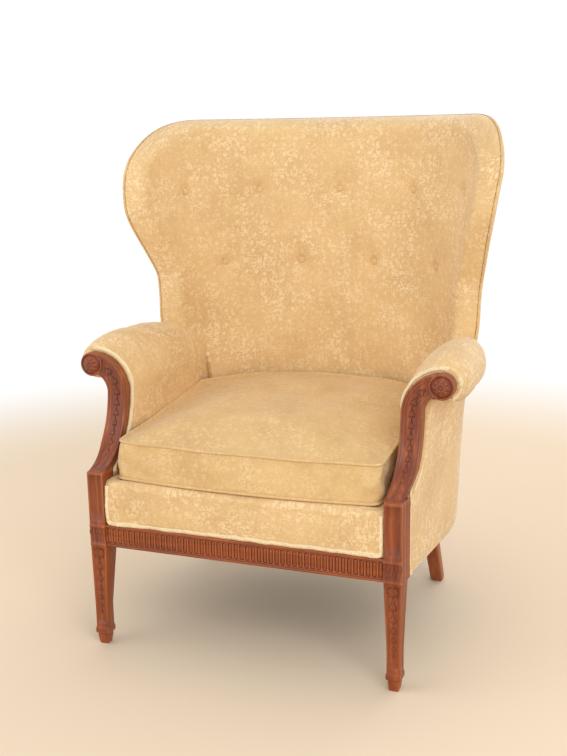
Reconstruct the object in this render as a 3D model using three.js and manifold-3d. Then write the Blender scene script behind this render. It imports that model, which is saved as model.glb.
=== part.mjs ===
// Wingback armchair with a loose seat cushion, in millimetres.
// X runs to the right seen from the front, Y to the back, Z up. The right-hand pieces are made first
// and the left-hand ones are their mirror images.
import * as THREE from "three";
import { mergeVertices } from "three/addons/utils/BufferGeometryUtils.js";
import Module from "manifold-3d";

const wasm = await Module();
wasm.setup();

// Driving dimensions of the whole chair
const frameWidth = 650; // over the front posts
const railBottom = 217; // underside of the seat rails and of the covers
const railHeight = 45.4;
const chairHeight = 1058; // top of the back
const gap = 0.3; // between pieces that seat on each other

// Front post and tapered leg
const post = { width: 35, depth: 46, splay: 4, top: 372 };
const postPanel = { inset: 6.5, depth: 2, bottom: 276 };
const postBlock = { proud: 1.6, chamfer: 1.6, inset: 1.5 };
const leg = {
  innerTaper: 6,
  outerTaper: 2,
  backTaper: 17,
  ankleTop: 85,
  ankle: 45,
  ankleWidth: 26,
  ankleDepth: 27,
  collar: 1.6,
  collarTop: 42,
  collarBottom: 24,
  foot: 17,
  footSwell: 23,
  footRise: 19,
};

// Front rail with its row of round-ended flutes
const rail = { setBack: 2, thick: 25, rebate: 4, rebateFrom: 10 };
const railBead = { height: 5, proud: 2 };
const flute = { count: 46, width: 7.5, height: 29, depth: 2.5, steps: 3 };

// Arm stump: a band that leans back in side view and scrolls outward at its top in front view
const stump = {
  neck: 34, // width where it leaves the post
  neckInset: 1, // it starts a little inside the post's outer face
  bandWidth: 42,
  bandSet: 1, // the band lies this much further out than the post's inner face
  flareRise: 40,
  bandRise: 60,
  shoulder: 511, // height where the scroll begins
  shoulderRadius: 80,
  scrollCenter: 43, // beyond the post's outer face
  scrollRadius: 25,
  frontY: 112,
  thick: 22,
  bead: 7,
  recess: 3,
};
const stumpFrontShares = { y: [0, 0.536, 0.9375, 1], z: [0, 0.094, 0.417, 1] };
const stumpBackShares = { y: [0, 0.443, 0.932, 1], z: [0, 0.115, 0.453, 1] };
const rosette = { radius: 15, height: 15, petals: 8, groove: 2.4, eye: 4.5, rings: 4, steps: 32 };

// Outside of the barrel back and wings. Its plan is a quarter of a superellipse on each side, which
// runs on straight to the front post.
const barrel = { backY: 655, top: 731, sideBow: 25, wingFlare: 80, sideStart: 290, sideEnd: 330 };
const sideStartShares = [[0, 0], [0.15, 0.2], [0.35, 0.75], [0.5, 1], [1, 1]];
const flareShares = [
  [0, 0], [0.099, 0.025], [0.2, 0.06], [0.313, 0.125], [0.46, 0.45], [0.551, 0.525],
  [0.622, 0.5875], [0.693, 0.675], [0.765, 0.8125], [0.836, 0.9375], [0.872, 1], [1, 1],
];
const squarenessShares = [[0, 2.3], [0.3, 2.22], [0.61, 2.1], [0.81, 2], [1, 2]];

// Front edge of the wing in side view: its distance behind the posts' front faces, at shares of the
// height between its foot and its upper corner
const wing = { foot: 600, corner: 972, nearest: 366, reach: 76, seamSide: 512, seamTop: 592 };
const wingShares = [
  [0, 0.934], [0.134, 1], [0.215, 1.013], [0.296, 1], [0.376, 0.816], [0.457, 0.579],
  [0.538, 0.329], [0.618, 0.118], [0.699, 0], [0.78, 0.04], [0.86, 0.158], [0.941, 0.368], [1, 0.553],
];
const crown = { drop: 86, length: 209, power: 2.6 }; // top border's fall towards the wing corner

// Layers between the outside of the covers and the inside of the back
const layer = { skin: 3.2, frameStart: 6.2, frameEnd: 28.4, padStart: 30.5 };
const backPad = {
  center: 72,
  wing: 50,
  roll: 28, // width of the rolled edge
  rollPower: 2.2,
  backRise: 40,
  dimple: 9,
  dimpleRadius: 24,
  hollow: 9,
  hollowWidth: 26,
};
const button = { radius: 7.5, edge: 1.6, dome: 2.6, seat: 3.4, upperRow: 896, lowerRow: 730, steps: 12 };
const upperButtonShares = [-0.667, -0.336, 0, 0.336, 0.667];
const lowerButtonShares = [-0.512, -0.156, 0.156, 0.512];

// Arm padding over the arm rail
const armPad = {
  inner: 8,
  top: 26,
  outer: 17,
  thick: 28,
  end: 480,
  flatDrift: 9,
  scrollDrift: 33,
  endRadius: 13,
  tuckFront: 536,
  tuckBack: 490,
  tuckRun: 196,
};
const armRail = { bottom: 520, end: 462, inset: 1 };

// Seat
const deck = { top: 353, thick: 17.7, frontY: 5, roll: 9, borderThick: 22 };
const cushion = {
  sideClearance: 1.4,
  backClearance: 3,
  frontY: 41,
  frontBulge: 15,
  frontLean: 13,
  frontEdge: 429,
  sideRise: 19,
  backRise: 36,
  crown: 34,
  boxingSwell: 4,
  bottomClearance: 0.4,
  cornerRadius: 26,
};
const welt = { radius: 3, sides: 5 };
const gimp = { width: 8, thick: 1.6 };

// Hidden frame and seat springing
const tackingRail = { bottom: 315, top: 350 };
const crest = { bottom: 955, top: 990, endShare: 0.74 };
const stile = { from: 0.44, to: 0.56 };
const sideRailShare = 0.6;
const backRailShare = 0.42;
const wingFrame = { rimInset: 50, shoulder: 640, frontY: 482, backY: 508 };
const backLeg = {
  footX: 268,
  footY: 548,
  footWidth: 28,
  footDepth: 30,
  kneeX: 244,
  kneeY: 508,
  kneeWidth: 34,
  kneeDepth: 38,
  headBack: 545,
};
const webbing = { width: 50, thick: 2.4, sink: 0.8, overlap: 12, endShare: 0.31 };
const spring = {
  pitchX: 150,
  pitchY: 160,
  firstY: 130,
  endRadius: 42,
  waistRadius: 28,
  wire: 1.8,
  turns: 3,
  stepsPerTurn: 8,
  sides: 5,
};
const hessian = 1.7;
const dustCloth = 1;
const cornerBlock = { leg: 60, reach: 59, bottom: 225, top: 255 };

// Where the main levels and faces fall
const postOuter = frameWidth / 2;
const postInner = postOuter - post.width;
const railTop = railBottom + railHeight;
const webbingBottom = railBottom + dustCloth + gap;
const railSeat = railBottom + rail.rebate;
const stumpInner = postInner + stump.bandSet;
const stumpOuter = stumpInner + stump.bandWidth;
const stumpBackY = stump.frontY + stump.thick;
const shoulderX = stumpInner + stump.shoulderRadius;
const hookRadius = stump.shoulderRadius - stump.bandWidth;
const scrollX = postOuter + stump.scrollCenter;
const scrollZ = stump.shoulder + stump.shoulderRadius - stump.scrollRadius;
const padBottom = deck.top + gap;

// Materials
const finish = (color, roughness, metalness = 0) =>
  new THREE.MeshStandardMaterial({ color, roughness, metalness });
const damask = finish("#dcb985", 0.85);
const wornDamask = finish("#cfae78", 0.8);
const braid = finish("#f3dfae", 0.9);
const mahogany = finish("#8a4a28", 0.4);
const beech = finish("#c9a271", 0.7);
const jute = finish("#a98a5c", 0.95);
const cottonCloth = finish("#3a3733", 0.95);
const springSteel = finish("#8d8f92", 0.4, 0.8);

// Numbers
const lerp = THREE.MathUtils.lerp;
const clamp = THREE.MathUtils.clamp;
const radians = THREE.MathUtils.degToRad;
const span = (steps) => Array.from({ length: steps + 1 }, (_, i) => i / steps);
const smooth = (t) => THREE.MathUtils.smoothstep(t, 0, 1);

// A smooth curve through rows of [position, value]
function curveThrough(rows) {
  const slope = (i) => {
    const a = rows[Math.max(i - 1, 0)];
    const b = rows[Math.min(i + 1, rows.length - 1)];
    return (b[1] - a[1]) / (b[0] - a[0]);
  };
  return (x) => {
    const at = clamp(x, rows[0][0], rows[rows.length - 1][0]);
    const i = Math.min(Math.max(rows.findIndex((row) => row[0] > at), 1), rows.length - 1);
    const k = at >= rows[rows.length - 1][0] ? rows.length - 1 : i;
    const [x0, y0] = rows[k - 1];
    const [x1, y1] = rows[k];
    const w = x1 - x0;
    const t = (at - x0) / w;
    const rise = t * t * (3 - 2 * t);
    const lead = w * t * (1 - t) * (slope(k - 1) * (1 - t) - slope(k) * t);
    return y0 + (y1 - y0) * rise + lead;
  };
}

// Solids and meshes
function closedGeometry(positions, triangles) {
  const raw = new THREE.BufferGeometry();
  raw.setAttribute("position", new THREE.Float32BufferAttribute(positions, 3));
  raw.setIndex(triangles);
  return tidied(raw);
}

function tidied(geometry) {
  const bare = new THREE.BufferGeometry();
  bare.setAttribute("position", geometry.getAttribute("position"));
  bare.setIndex(geometry.index);
  const merged = mergeVertices(bare, 1e-3);
  const kept = [];
  const index = merged.index.array;
  for (let i = 0; i < index.length; i += 3) {
    const [a, b, c] = [index[i], index[i + 1], index[i + 2]];
    if (a !== b && b !== c && c !== a) kept.push(a, b, c);
  }
  merged.setIndex(signedVolume(merged, kept) < 0 ? kept.reverse() : kept);
  return merged;
}

function signedVolume(geometry, index) {
  const at = geometry.getAttribute("position");
  const [a, b, c] = [new THREE.Vector3(), new THREE.Vector3(), new THREE.Vector3()];
  let volume = 0;
  for (let i = 0; i < index.length; i += 3) {
    a.fromBufferAttribute(at, index[i]);
    b.fromBufferAttribute(at, index[i + 1]);
    c.fromBufferAttribute(at, index[i + 2]);
    volume += a.dot(b.cross(c));
  }
  return volume;
}

function toSolid(geometry) {
  const clean = tidied(geometry);
  return new wasm.Manifold(
    new wasm.Mesh({
      numProp: 3,
      vertProperties: clean.getAttribute("position").array,
      triVerts: new Uint32Array(clean.index.array),
    }),
  );
}

// The main body of a solid, without the slivers that a cut can leave
function toGeometry(solid) {
  const main = solid.decompose().reduce((a, b) => (a.volume() > b.volume() ? a : b));
  const { vertProperties, triVerts } = main.getMesh();
  const geometry = new THREE.BufferGeometry();
  geometry.setAttribute("position", new THREE.BufferAttribute(vertProperties, 3));
  geometry.setIndex(new THREE.BufferAttribute(triVerts, 1));
  return geometry;
}

const joined = (geometries) => toGeometry(geometries.map(toSolid).reduce((a, b) => a.add(b)));
const cut = (geometry, cutters) =>
  toGeometry(cutters.map(toSolid).reduce((a, b) => a.subtract(b), toSolid(geometry)));
const common = (a, b) => toGeometry(toSolid(a).intersect(toSolid(b)));

function box(x0, x1, y0, y1, z0, z1) {
  const geometry = new THREE.BoxGeometry(x1 - x0, y1 - y0, z1 - z0);
  return geometry.translate((x0 + x1) / 2, (y0 + y1) / 2, (z0 + z1) / 2);
}

const unitX = new THREE.Vector3(1, 0, 0);
const unitY = new THREE.Vector3(0, 1, 0);
const unitZ = new THREE.Vector3(0, 0, 1);

function extruded(outline, depth) {
  const shape = new THREE.Shape(outline.map(([a, b]) => new THREE.Vector2(a, b)));
  return new THREE.ExtrudeGeometry(shape, { depth, bevelEnabled: false });
}

// An outline of [x, y] pairs raised from z0 to z1
const raised = (outline, z0, z1) => extruded(outline, z1 - z0).translate(0, 0, z0);

// An outline of [x, z] pairs, seen from the front, that runs from y0 to y1
function throughY(outline, y0, y1) {
  const turn = new THREE.Matrix4().makeBasis(unitX, unitZ, unitY.clone().negate());
  return extruded(outline, y1 - y0).applyMatrix4(turn).translate(0, y1, 0);
}

// An outline of [y, z] pairs, seen from the side, that runs from x0 to x1
function throughX(outline, x0, x1) {
  const turn = new THREE.Matrix4().makeBasis(unitY, unitZ, unitX);
  return extruded(outline, x1 - x0).applyMatrix4(turn).translate(x0, 0, 0);
}

// A closed solid through rings of [x, y, z] points. Flat outlines close its ends.
function loft(rings, flat = ([x, y]) => [x, y]) {
  const n = rings[0].length;
  const triangles = [];
  for (let k = 0; k + 1 < rings.length; k++)
    for (let i = 0; i < n; i++) {
      const [a, b] = [k * n + i, k * n + ((i + 1) % n)];
      triangles.push(a, b, b + n, a, b + n, a + n);
    }
  const capOf = (ring) => {
    const outline = ring.map((p) => new THREE.Vector2(...flat(p)));
    const turned = THREE.ShapeUtils.area(outline) < 0;
    return [THREE.ShapeUtils.triangulateShape(outline, []), turned];
  };
  const last = (rings.length - 1) * n;
  const [firstCap, firstTurned] = capOf(rings[0]);
  const [lastCap, lastTurned] = capOf(rings[rings.length - 1]);
  for (const [a, b, c] of firstCap) triangles.push(...(firstTurned ? [a, b, c] : [a, c, b]));
  for (const [a, b, c] of lastCap)
    triangles.push(...(lastTurned ? [a, c, b] : [a, b, c]).map((i) => i + last));
  return closedGeometry(rings.flat(2), triangles);
}

// A closed solid between two grids of [x, y, z] points of the same size
function between(front, back) {
  const rows = front.length;
  const columns = front[0].length;
  const size = rows * columns;
  const at = (i, j) => i * columns + j;
  const triangles = [];
  const quad = (a, b, c, d) => triangles.push(a, b, c, a, c, d);
  for (let i = 0; i + 1 < rows; i++)
    for (let j = 0; j + 1 < columns; j++) {
      quad(at(i, j), at(i, j + 1), at(i + 1, j + 1), at(i + 1, j));
      quad(at(i + 1, j) + size, at(i + 1, j + 1) + size, at(i, j + 1) + size, at(i, j) + size);
    }
  const wall = (a, b) => quad(b, a, a + size, b + size);
  for (let j = 0; j + 1 < columns; j++) {
    wall(at(0, j), at(0, j + 1));
    wall(at(rows - 1, j + 1), at(rows - 1, j));
  }
  for (let i = 0; i + 1 < rows; i++) {
    wall(at(i + 1, 0), at(i, 0));
    wall(at(i, columns - 1), at(i + 1, columns - 1));
  }
  return closedGeometry([...front, ...back].flat(2), triangles);
}

// A round tube along points, either closed on itself or with flat ends
function tube(points, radius, sides, closed) {
  const n = points.length;
  const at = (i) => points[closed ? (i + n) % n : clamp(i, 0, n - 1)];
  const rings = [];
  let normal = null;
  for (let i = 0; i < n; i++) {
    const along = at(i + 1).clone().sub(at(i - 1)).normalize();
    const upright = Math.abs(along.z) < Math.SQRT1_2 ? unitZ : unitX;
    normal = (closed || !normal ? upright : normal).clone();
    normal.addScaledVector(along, -normal.dot(along)).normalize();
    const side = along.clone().cross(normal);
    rings.push(
      Array.from({ length: sides }, (_, k) => {
        const a = (2 * Math.PI * k) / sides;
        const p = points[i].clone().addScaledVector(normal, radius * Math.cos(a));
        return p.addScaledVector(side, radius * Math.sin(a)).toArray();
      }),
    );
  }
  const triangles = [];
  const joints = closed ? n : n - 1;
  for (let i = 0; i < joints; i++)
    for (let k = 0; k < sides; k++) {
      const l = (k + 1) % sides;
      const [a, b] = [i * sides, ((i + 1) % n) * sides];
      triangles.push(a + k, a + l, b + l, a + k, b + l, b + k);
    }
  if (!closed)
    for (let k = 1; k + 1 < sides; k++) {
      const last = (n - 1) * sides;
      triangles.push(0, k + 1, k, last, last + k, last + k + 1);
    }
  return closedGeometry(rings.flat(2), triangles);
}

const chair = new THREE.Group();

function add(name, geometry, material) {
  const mesh = new THREE.Mesh(geometry, material);
  mesh.name = name;
  chair.add(mesh);
  return mesh;
}

// A right-hand piece and its mirror image
function addPair(name, geometry, material) {
  add(`${name}_right`, geometry, material);
  add(`${name}_left`, geometry, material).scale.x = -1;
}

// The barrel surface. Its places are named by q, which is 0 at the middle of the back, 1 where the
// side turns straight and 2 at the post, by the height z, and by the depth into the back.
const shareOf = (table) => {
  const curve = curveThrough(table);
  return (z) => curve(clamp((z - railBottom) / (chairHeight - railBottom), 0, 1));
};
const flareAt = shareOf(flareShares);
const startAt = shareOf(sideStartShares);
const squarenessAt = shareOf(squarenessShares);

function planAt(z) {
  const halfWidth = postOuter + barrel.sideBow + barrel.wingFlare * flareAt(z);
  const side = lerp(barrel.sideStart, barrel.sideEnd, startAt(z));
  const rise = (z - railBottom) / (chairHeight - railBottom);
  return { halfWidth, side, back: lerp(barrel.backY, barrel.top, rise), power: squarenessAt(z) };
}

function surfacePoint(q, z) {
  const { halfWidth, side, back, power } = planAt(z);
  const a = Math.abs(q);
  const sign = Math.sign(q);
  if (a > 1) {
    const y = side * (2 - a);
    return [sign * lerp(postOuter, halfWidth, y / side), y];
  }
  const turn = radians(90 * a);
  const x = halfWidth * Math.sin(turn) ** (2 / power);
  return [sign * x, side + (back - side) * Math.cos(turn) ** (2 / power)];
}

const smallStep = 0.004;
function layerPoint(q, z, depth) {
  const [x, y] = surfacePoint(q, z);
  const [x0, y0] = surfacePoint(q - smallStep, z);
  const [x1, y1] = surfacePoint(q + smallStep, z);
  const length = Math.hypot(x1 - x0, y1 - y0);
  return [x + ((y1 - y0) / length) * depth, y - ((x1 - x0) / length) * depth, z];
}

// The q of the right-hand side that lies at a distance y behind the posts' front faces
function shareAtDepth(y, z) {
  const { side, back, power } = planAt(z);
  if (y <= side) return 2 - y / side;
  const t = Math.min((y - side) / (back - side), 1);
  return Math.acos(t ** (power / 2)) / radians(90);
}

// Arc lengths along the surface at one height
const arcSteps = 64;
function arcTable(z) {
  const rows = [[0, 0]];
  let [px, py] = surfacePoint(0, z);
  for (const t of span(arcSteps).slice(1)) {
    const [x, y] = surfacePoint(2 * t, z);
    rows.push([2 * t, rows[rows.length - 1][1] + Math.hypot(x - px, y - py)]);
    [px, py] = [x, y];
  }
  return rows;
}
const arcTables = new Map();
const arcsAt = (z) => {
  if (!arcTables.has(z)) arcTables.set(z, arcTable(z));
  return arcTables.get(z);
};
function between2(rows, from, to, value) {
  const i = clamp(rows.findIndex((row) => row[from] >= value), 1, rows.length - 1);
  const [a, b] = [rows[i - 1], rows[i]];
  return lerp(a[to], b[to], (value - a[from]) / (b[from] - a[from]));
}
const arcOf = (q, z) => Math.sign(q) * between2(arcsAt(z), 0, 1, Math.abs(q));
const shareOfArc = (arc, z) => Math.sign(arc) * between2(arcsAt(z), 1, 0, Math.abs(arc));

// Front edge of the wing, and below it the seam of the back with the arm
const wingDepth = curveThrough(wingShares);
function rimY(z) {
  if (z < wing.foot) return wing.seamSide;
  const share = (Math.min(z, wing.corner) - wing.foot) / (wing.corner - wing.foot);
  return wing.nearest + wing.reach * wingDepth(share);
}
const rimShare = (z) => shareAtDepth(rimY(z), z);
const topAt = (fromCorner) =>
  chairHeight - crown.drop * (1 - clamp(fromCorner / crown.length, 0, 1)) ** crown.power;

// A piece of a layer: q and height limits may follow each other, depths are measured inwards
function layerPiece({ from, to, bottom, top, near, far, columns, rows }) {
  const grid = (depth) =>
    span(rows).map((v) =>
      span(columns).map((u) => {
        const qTop = lerp(from(chairHeight), to(chairHeight), u);
        const z = lerp(bottom, typeof top === "function" ? top(qTop) : top, v);
        return layerPoint(lerp(from(z), to(z), u), z, depth);
      }),
    );
  return between(grid(near), grid(far));
}
const fixed = (value) => () => value;

// The two curves of the stump's side view
const stumpCurve = (shares, startY, endY) =>
  new THREE.CubicBezierCurve(
    ...shares.y.map(
      (share, i) =>
        new THREE.Vector2(lerp(startY, endY, share), lerp(post.top, stump.shoulder, shares.z[i])),
    ),
  )
    .getPoints(8)
    .map((p) => [p.x, p.y]);
const stumpTop = stump.shoulder + stump.shoulderRadius + post.width;
const frontCurve = [...stumpCurve(stumpFrontShares, 0, stump.frontY), [stump.frontY, stumpTop]];
const backCurve = [...stumpCurve(stumpBackShares, post.depth, stumpBackY), [stumpBackY, stumpTop]];
const shifted = (curve, y) => curve.map(([a, z]) => [a + y, z]);

// Arc points in the front view, from one angle to another in degrees
const arc = (x, z, radius, from, to, steps) =>
  span(steps).map((t) => {
    const a = radians(lerp(from, to, t));
    return [x + radius * Math.cos(a), z + radius * Math.sin(a)];
  });

// The stump's outline in front view, inset on all sides
function stumpOutline(inset) {
  const hook = hookRadius + inset;
  const scroll = stump.scrollRadius - inset;
  const [dx, dz] = [scrollX - shoulderX, scrollZ - stump.shoulder];
  const d = Math.hypot(dx, dz);
  const reach = Math.acos((hook ** 2 + d ** 2 - scroll ** 2) / (2 * hook * d));
  const meet = Math.atan2(dz, dx) + reach;
  const [mx, mz] = [shoulderX + hook * Math.cos(meet), stump.shoulder + hook * Math.sin(meet)];
  const scrollEnd = THREE.MathUtils.radToDeg(Math.atan2(mz - scrollZ, mx - scrollX));
  const shoulder = stump.shoulderRadius - inset;
  const left = [
    [postInner - stump.neckInset + inset, post.top + inset],
    [postInner + inset, post.top + stump.flareRise],
    [stumpInner + inset, post.top + stump.bandRise],
  ];
  const right = [
    [stumpOuter - inset, post.top + stump.bandRise],
    [stumpOuter - stump.bandSet - inset, post.top + stump.flareRise],
    [postInner - stump.neckInset + stump.neck - inset, post.top + inset],
  ];
  return [
    ...left,
    ...arc(shoulderX, stump.shoulder, shoulder, 180, 97, 8),
    ...arc(scrollX, scrollZ, scroll, 90, scrollEnd, 14),
    ...arc(shoulderX, stump.shoulder, hook, THREE.MathUtils.radToDeg(meet), 180, 5).slice(1),
    ...right,
  ];
}

// A carved rosette: a dome with petals and an eye, whose back is flat
function carvedRosette() {
  const { radius, height, petals, groove, eye, rings, steps } = rosette;
  const rows = span(rings).map((t) =>
    span(steps).map((u) => {
      const a = 2 * Math.PI * u;
      const r = radius * t;
      const petal = groove * Math.abs(Math.cos((petals * a) / 2)) * Math.min(r / eye, 1) * Math.sin(Math.PI * t);
      const rise = height * Math.sqrt(1 - (1 - gap / radius) * t * t) + petal - groove;
      return [scrollX + r * Math.cos(a), stump.frontY - rise, scrollZ + r * Math.sin(a)];
    }),
  );
  const flat = rows.map((row) => row.map(([x, , z]) => [x, stump.frontY + stump.recess + 1, z]));
  return closedGrid(rows, flat);
}

// Like between, for grids that close round an axis at their first row and join at the sides
function closedGrid(front, back) {
  const columns = front[0].length - 1;
  const rows = front.length;
  const size = rows * columns;
  const trim = (grid) => grid.map((row) => row.slice(0, columns));
  const triangles = [];
  const at = (i, j) => i * columns + (j % columns);
  for (let i = 0; i + 1 < rows; i++)
    for (let j = 0; j < columns; j++) {
      const [a, b, c, d] = [at(i, j), at(i, j + 1), at(i + 1, j + 1), at(i + 1, j)];
      triangles.push(a, b, c, a, c, d, size + d, size + c, size + a, size + c, size + b, size + a);
    }
  for (let j = 0; j < columns; j++) {
    const [a, b] = [at(rows - 1, j), at(rows - 1, j + 1)];
    triangles.push(a, b, size + b, a, size + b, size + a);
  }
  return closedGeometry([...trim(front), ...trim(back)].flat(2), triangles);
}

// Front leg with its post, sunk panel, block and foot
{
  const section = (x0, x1, y0, y1, z) => [[x0, y0, z], [x1, y0, z], [x1, y1, z], [x0, y1, z]];
  const taper = (z) => (railBottom - z) / (railBottom - leg.ankleTop);
  const plain = (z, grow) => {
    const t = Math.min(taper(z), 1);
    const x0 = postInner + leg.innerTaper * t;
    const x1 = postOuter - leg.outerTaper * t;
    const y1 = lerp(post.depth, leg.ankleDepth, t);
    return section(x0 - grow, x1 + grow, t - grow, y1 + grow, z);
  };
  const footAt = (width, z) => {
    const x0 = (postInner + leg.innerTaper + postOuter - leg.outerTaper - width) / 2;
    const y0 = (leg.ankleDepth - width) / 2;
    return section(x0, x0 + width, y0, y0 + width, z);
  };
  const shaft = loft([
    footAt(leg.foot, 0),
    footAt(leg.footSwell, leg.footRise),
    plain(leg.collarBottom, 0),
    plain(leg.collarBottom, leg.collar),
    plain(leg.collarTop, leg.collar),
    plain(leg.collarTop, 0),
    plain(leg.ankle, 0),
    plain(leg.ankleTop, 0),
    plain(railBottom, 0),
  ]);
  const plan = [[postInner, 0], [postOuter, 0], [postOuter + post.splay, post.depth], [postInner, post.depth]];
  const block = (y, inset, cut) => [
    [postInner + inset, y, railBottom + cut],
    [postOuter - inset, y, railBottom + cut],
    [postOuter - inset, y, railTop - cut],
    [postInner + inset, y, railTop - cut],
  ];
  const carvedBlock = loft(
    [
      block(post.depth / 2, postBlock.inset, 0),
      block(0, postBlock.inset, 0),
      block(-postBlock.proud, postBlock.inset + postBlock.chamfer, postBlock.chamfer),
    ],
    ([x, , z]) => [x, z],
  );
  const { inset } = postPanel;
  const panel = box(postInner + inset, postOuter - inset, -post.depth, postPanel.depth, postPanel.bottom, post.top - inset);
  addPair("front_leg", cut(joined([shaft, raised(plan, railBottom, post.top), carvedBlock]), [panel]), mahogany);
}

// Arm stump: front and side outlines crossed, a sunk face between beads, and the rosette
{
  const seat = post.top + gap;
  const lift = ([y, z]) => [y, Math.max(z, seat)];
  const side = [...frontCurve.map(lift), ...backCurve.map(lift).reverse()];
  const wide = [0, frameWidth];
  const body = common(throughY(stumpOutline(0), 0, stumpBackY + 1), throughX(side, ...wide));
  const sunk = [...shifted(frontCurve, -stump.thick), ...shifted(frontCurve, stump.recess).reverse()];
  const recess = common(
    throughY(stumpOutline(stump.bead), -stump.thick, stumpBackY),
    throughX(sunk, ...wide),
  );
  addPair("arm_stump", joined([cut(body, [recess]), carvedRosette()]), mahogany);
}

// Front rail: beads at both edges, a rebate for the webbing, and the flutes
{
  const half = postInner - gap;
  const face = rail.setBack + railBead.proud;
  const beadAt = (z) =>
    span(4).map((t) => {
      const a = Math.PI * t;
      return [face - railBead.proud * Math.sin(a), z - (railBead.height / 2) * Math.cos(a)];
    });
  const profile = [
    ...beadAt(railBottom + railBead.height / 2),
    ...beadAt(railTop - railBead.height / 2),
    [rail.setBack + rail.thick, railTop],
    [rail.setBack + rail.thick, railSeat],
    [rail.setBack + rail.rebateFrom, railSeat],
    [rail.setBack + rail.rebateFrom, railBottom],
  ];
  const pitch = (2 * half) / flute.count;
  const straight = (flute.height - flute.width) / 2;
  const middle = (railBottom + railTop) / 2;
  const cutters = span(flute.count - 1).map((t) => {
    const x = lerp(pitch / 2 - half, half - pitch / 2, t);
    const outline = [
      ...arc(x, middle + straight, flute.width / 2, 0, 180, flute.steps),
      ...arc(x, middle - straight, flute.width / 2, 180, 360, flute.steps),
    ];
    return throughY(outline, 0, face + flute.depth);
  });
  add("front_rail", cut(throughX(profile, -half, half), cutters), mahogany);
}

// Seat rails, back leg with its stile, and the upper frame, each in the frame layer
const frameLayer = { near: layer.frameStart, far: layer.frameEnd };
const postShare = (z) => shareAtDepth(post.depth + gap, z);
addPair(
  "side_rail",
  layerPiece({
    ...frameLayer,
    from: fixed(sideRailShare),
    to: postShare,
    bottom: railSeat,
    top: railTop,
    columns: 8,
    rows: 1,
  }),
  beech,
);
add(
  "back_rail",
  layerPiece({
    ...frameLayer,
    from: fixed(-backRailShare),
    to: fixed(backRailShare),
    bottom: railSeat,
    top: railTop,
    columns: 12,
    rows: 1,
  }),
  beech,
);
{
  const section = (x, y, width, depth, z) => [
    [x - width / 2, y - depth / 2, z],
    [x + width / 2, y - depth / 2, z],
    [x + width / 2, y + depth / 2, z],
    [x - width / 2, y + depth / 2, z],
  ];
  const b = backLeg;
  const headDepth = b.headBack - b.kneeY + b.kneeDepth / 2;
  const shaft = loft([
    section(b.footX, b.footY, b.footWidth, b.footDepth, 0),
    section(b.kneeX, b.kneeY, b.kneeWidth, b.kneeDepth, railBottom),
    section(b.kneeX, b.headBack - headDepth / 2, b.kneeWidth, headDepth, railTop),
  ]);
  const upright = layerPiece({
    ...frameLayer,
    from: fixed(stile.from),
    to: fixed(stile.to),
    bottom: railSeat,
    top: crest.bottom - gap,
    columns: 2,
    rows: 8,
  });
  addPair("back_leg", joined([shaft, upright]), beech);
}
add(
  "crest_rail",
  layerPiece({
    ...frameLayer,
    from: fixed(-crest.endShare),
    to: fixed(crest.endShare),
    bottom: crest.bottom,
    top: crest.top,
    columns: 16,
    rows: 1,
  }),
  beech,
);
const lowerRail = { ...frameLayer, bottom: tackingRail.bottom, top: tackingRail.top, rows: 1 };
const stileGap = 0.001;
add(
  "back_tacking_rail",
  layerPiece({
    ...lowerRail,
    from: fixed(stileGap - stile.from),
    to: fixed(stile.from - stileGap),
    columns: 12,
  }),
  beech,
);
addPair(
  "arm_tacking_rail",
  layerPiece({
    ...lowerRail,
    from: (z) => shareAtDepth(wingFrame.frontY - 2 * gap, z),
    to: postShare,
    columns: 12,
  }),
  beech,
);
const wingFrameFront = (z) =>
  shareAtDepth(
    z < wingFrame.shoulder ? wingFrame.frontY : Math.min(rimY(z) + wingFrame.rimInset, wingFrame.frontY),
    z,
  );
const wingUpright = (grow) =>
  layerPiece({
    near: layer.frameStart - grow,
    far: layer.frameEnd + grow,
    from: (z) => shareAtDepth(wingFrame.backY + grow, z),
    to: (z) => shareAtDepth(wingFrame.frontY - grow, z) + wingFrameFront(z) - shareAtDepth(wingFrame.frontY, z),
    bottom: railTop + gap - grow,
    top: crest.bottom - gap + grow,
    columns: 2,
    rows: 14,
  });
addPair("wing_frame", wingUpright(0), beech);

// Corner blocks behind the front posts
{
  const back = rail.setBack + rail.thick + gap;
  const [inner, outer] = [postInner - gap, postInner + cornerBlock.reach / 6.5];
  const outline = [
    [inner - cornerBlock.leg, back],
    [inner, back],
    [inner, post.depth + gap],
    [outer, post.depth + gap],
    [outer, post.depth + cornerBlock.reach],
  ];
  addPair("corner_block", raised(outline, cornerBlock.bottom, cornerBlock.top), beech);
}

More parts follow.
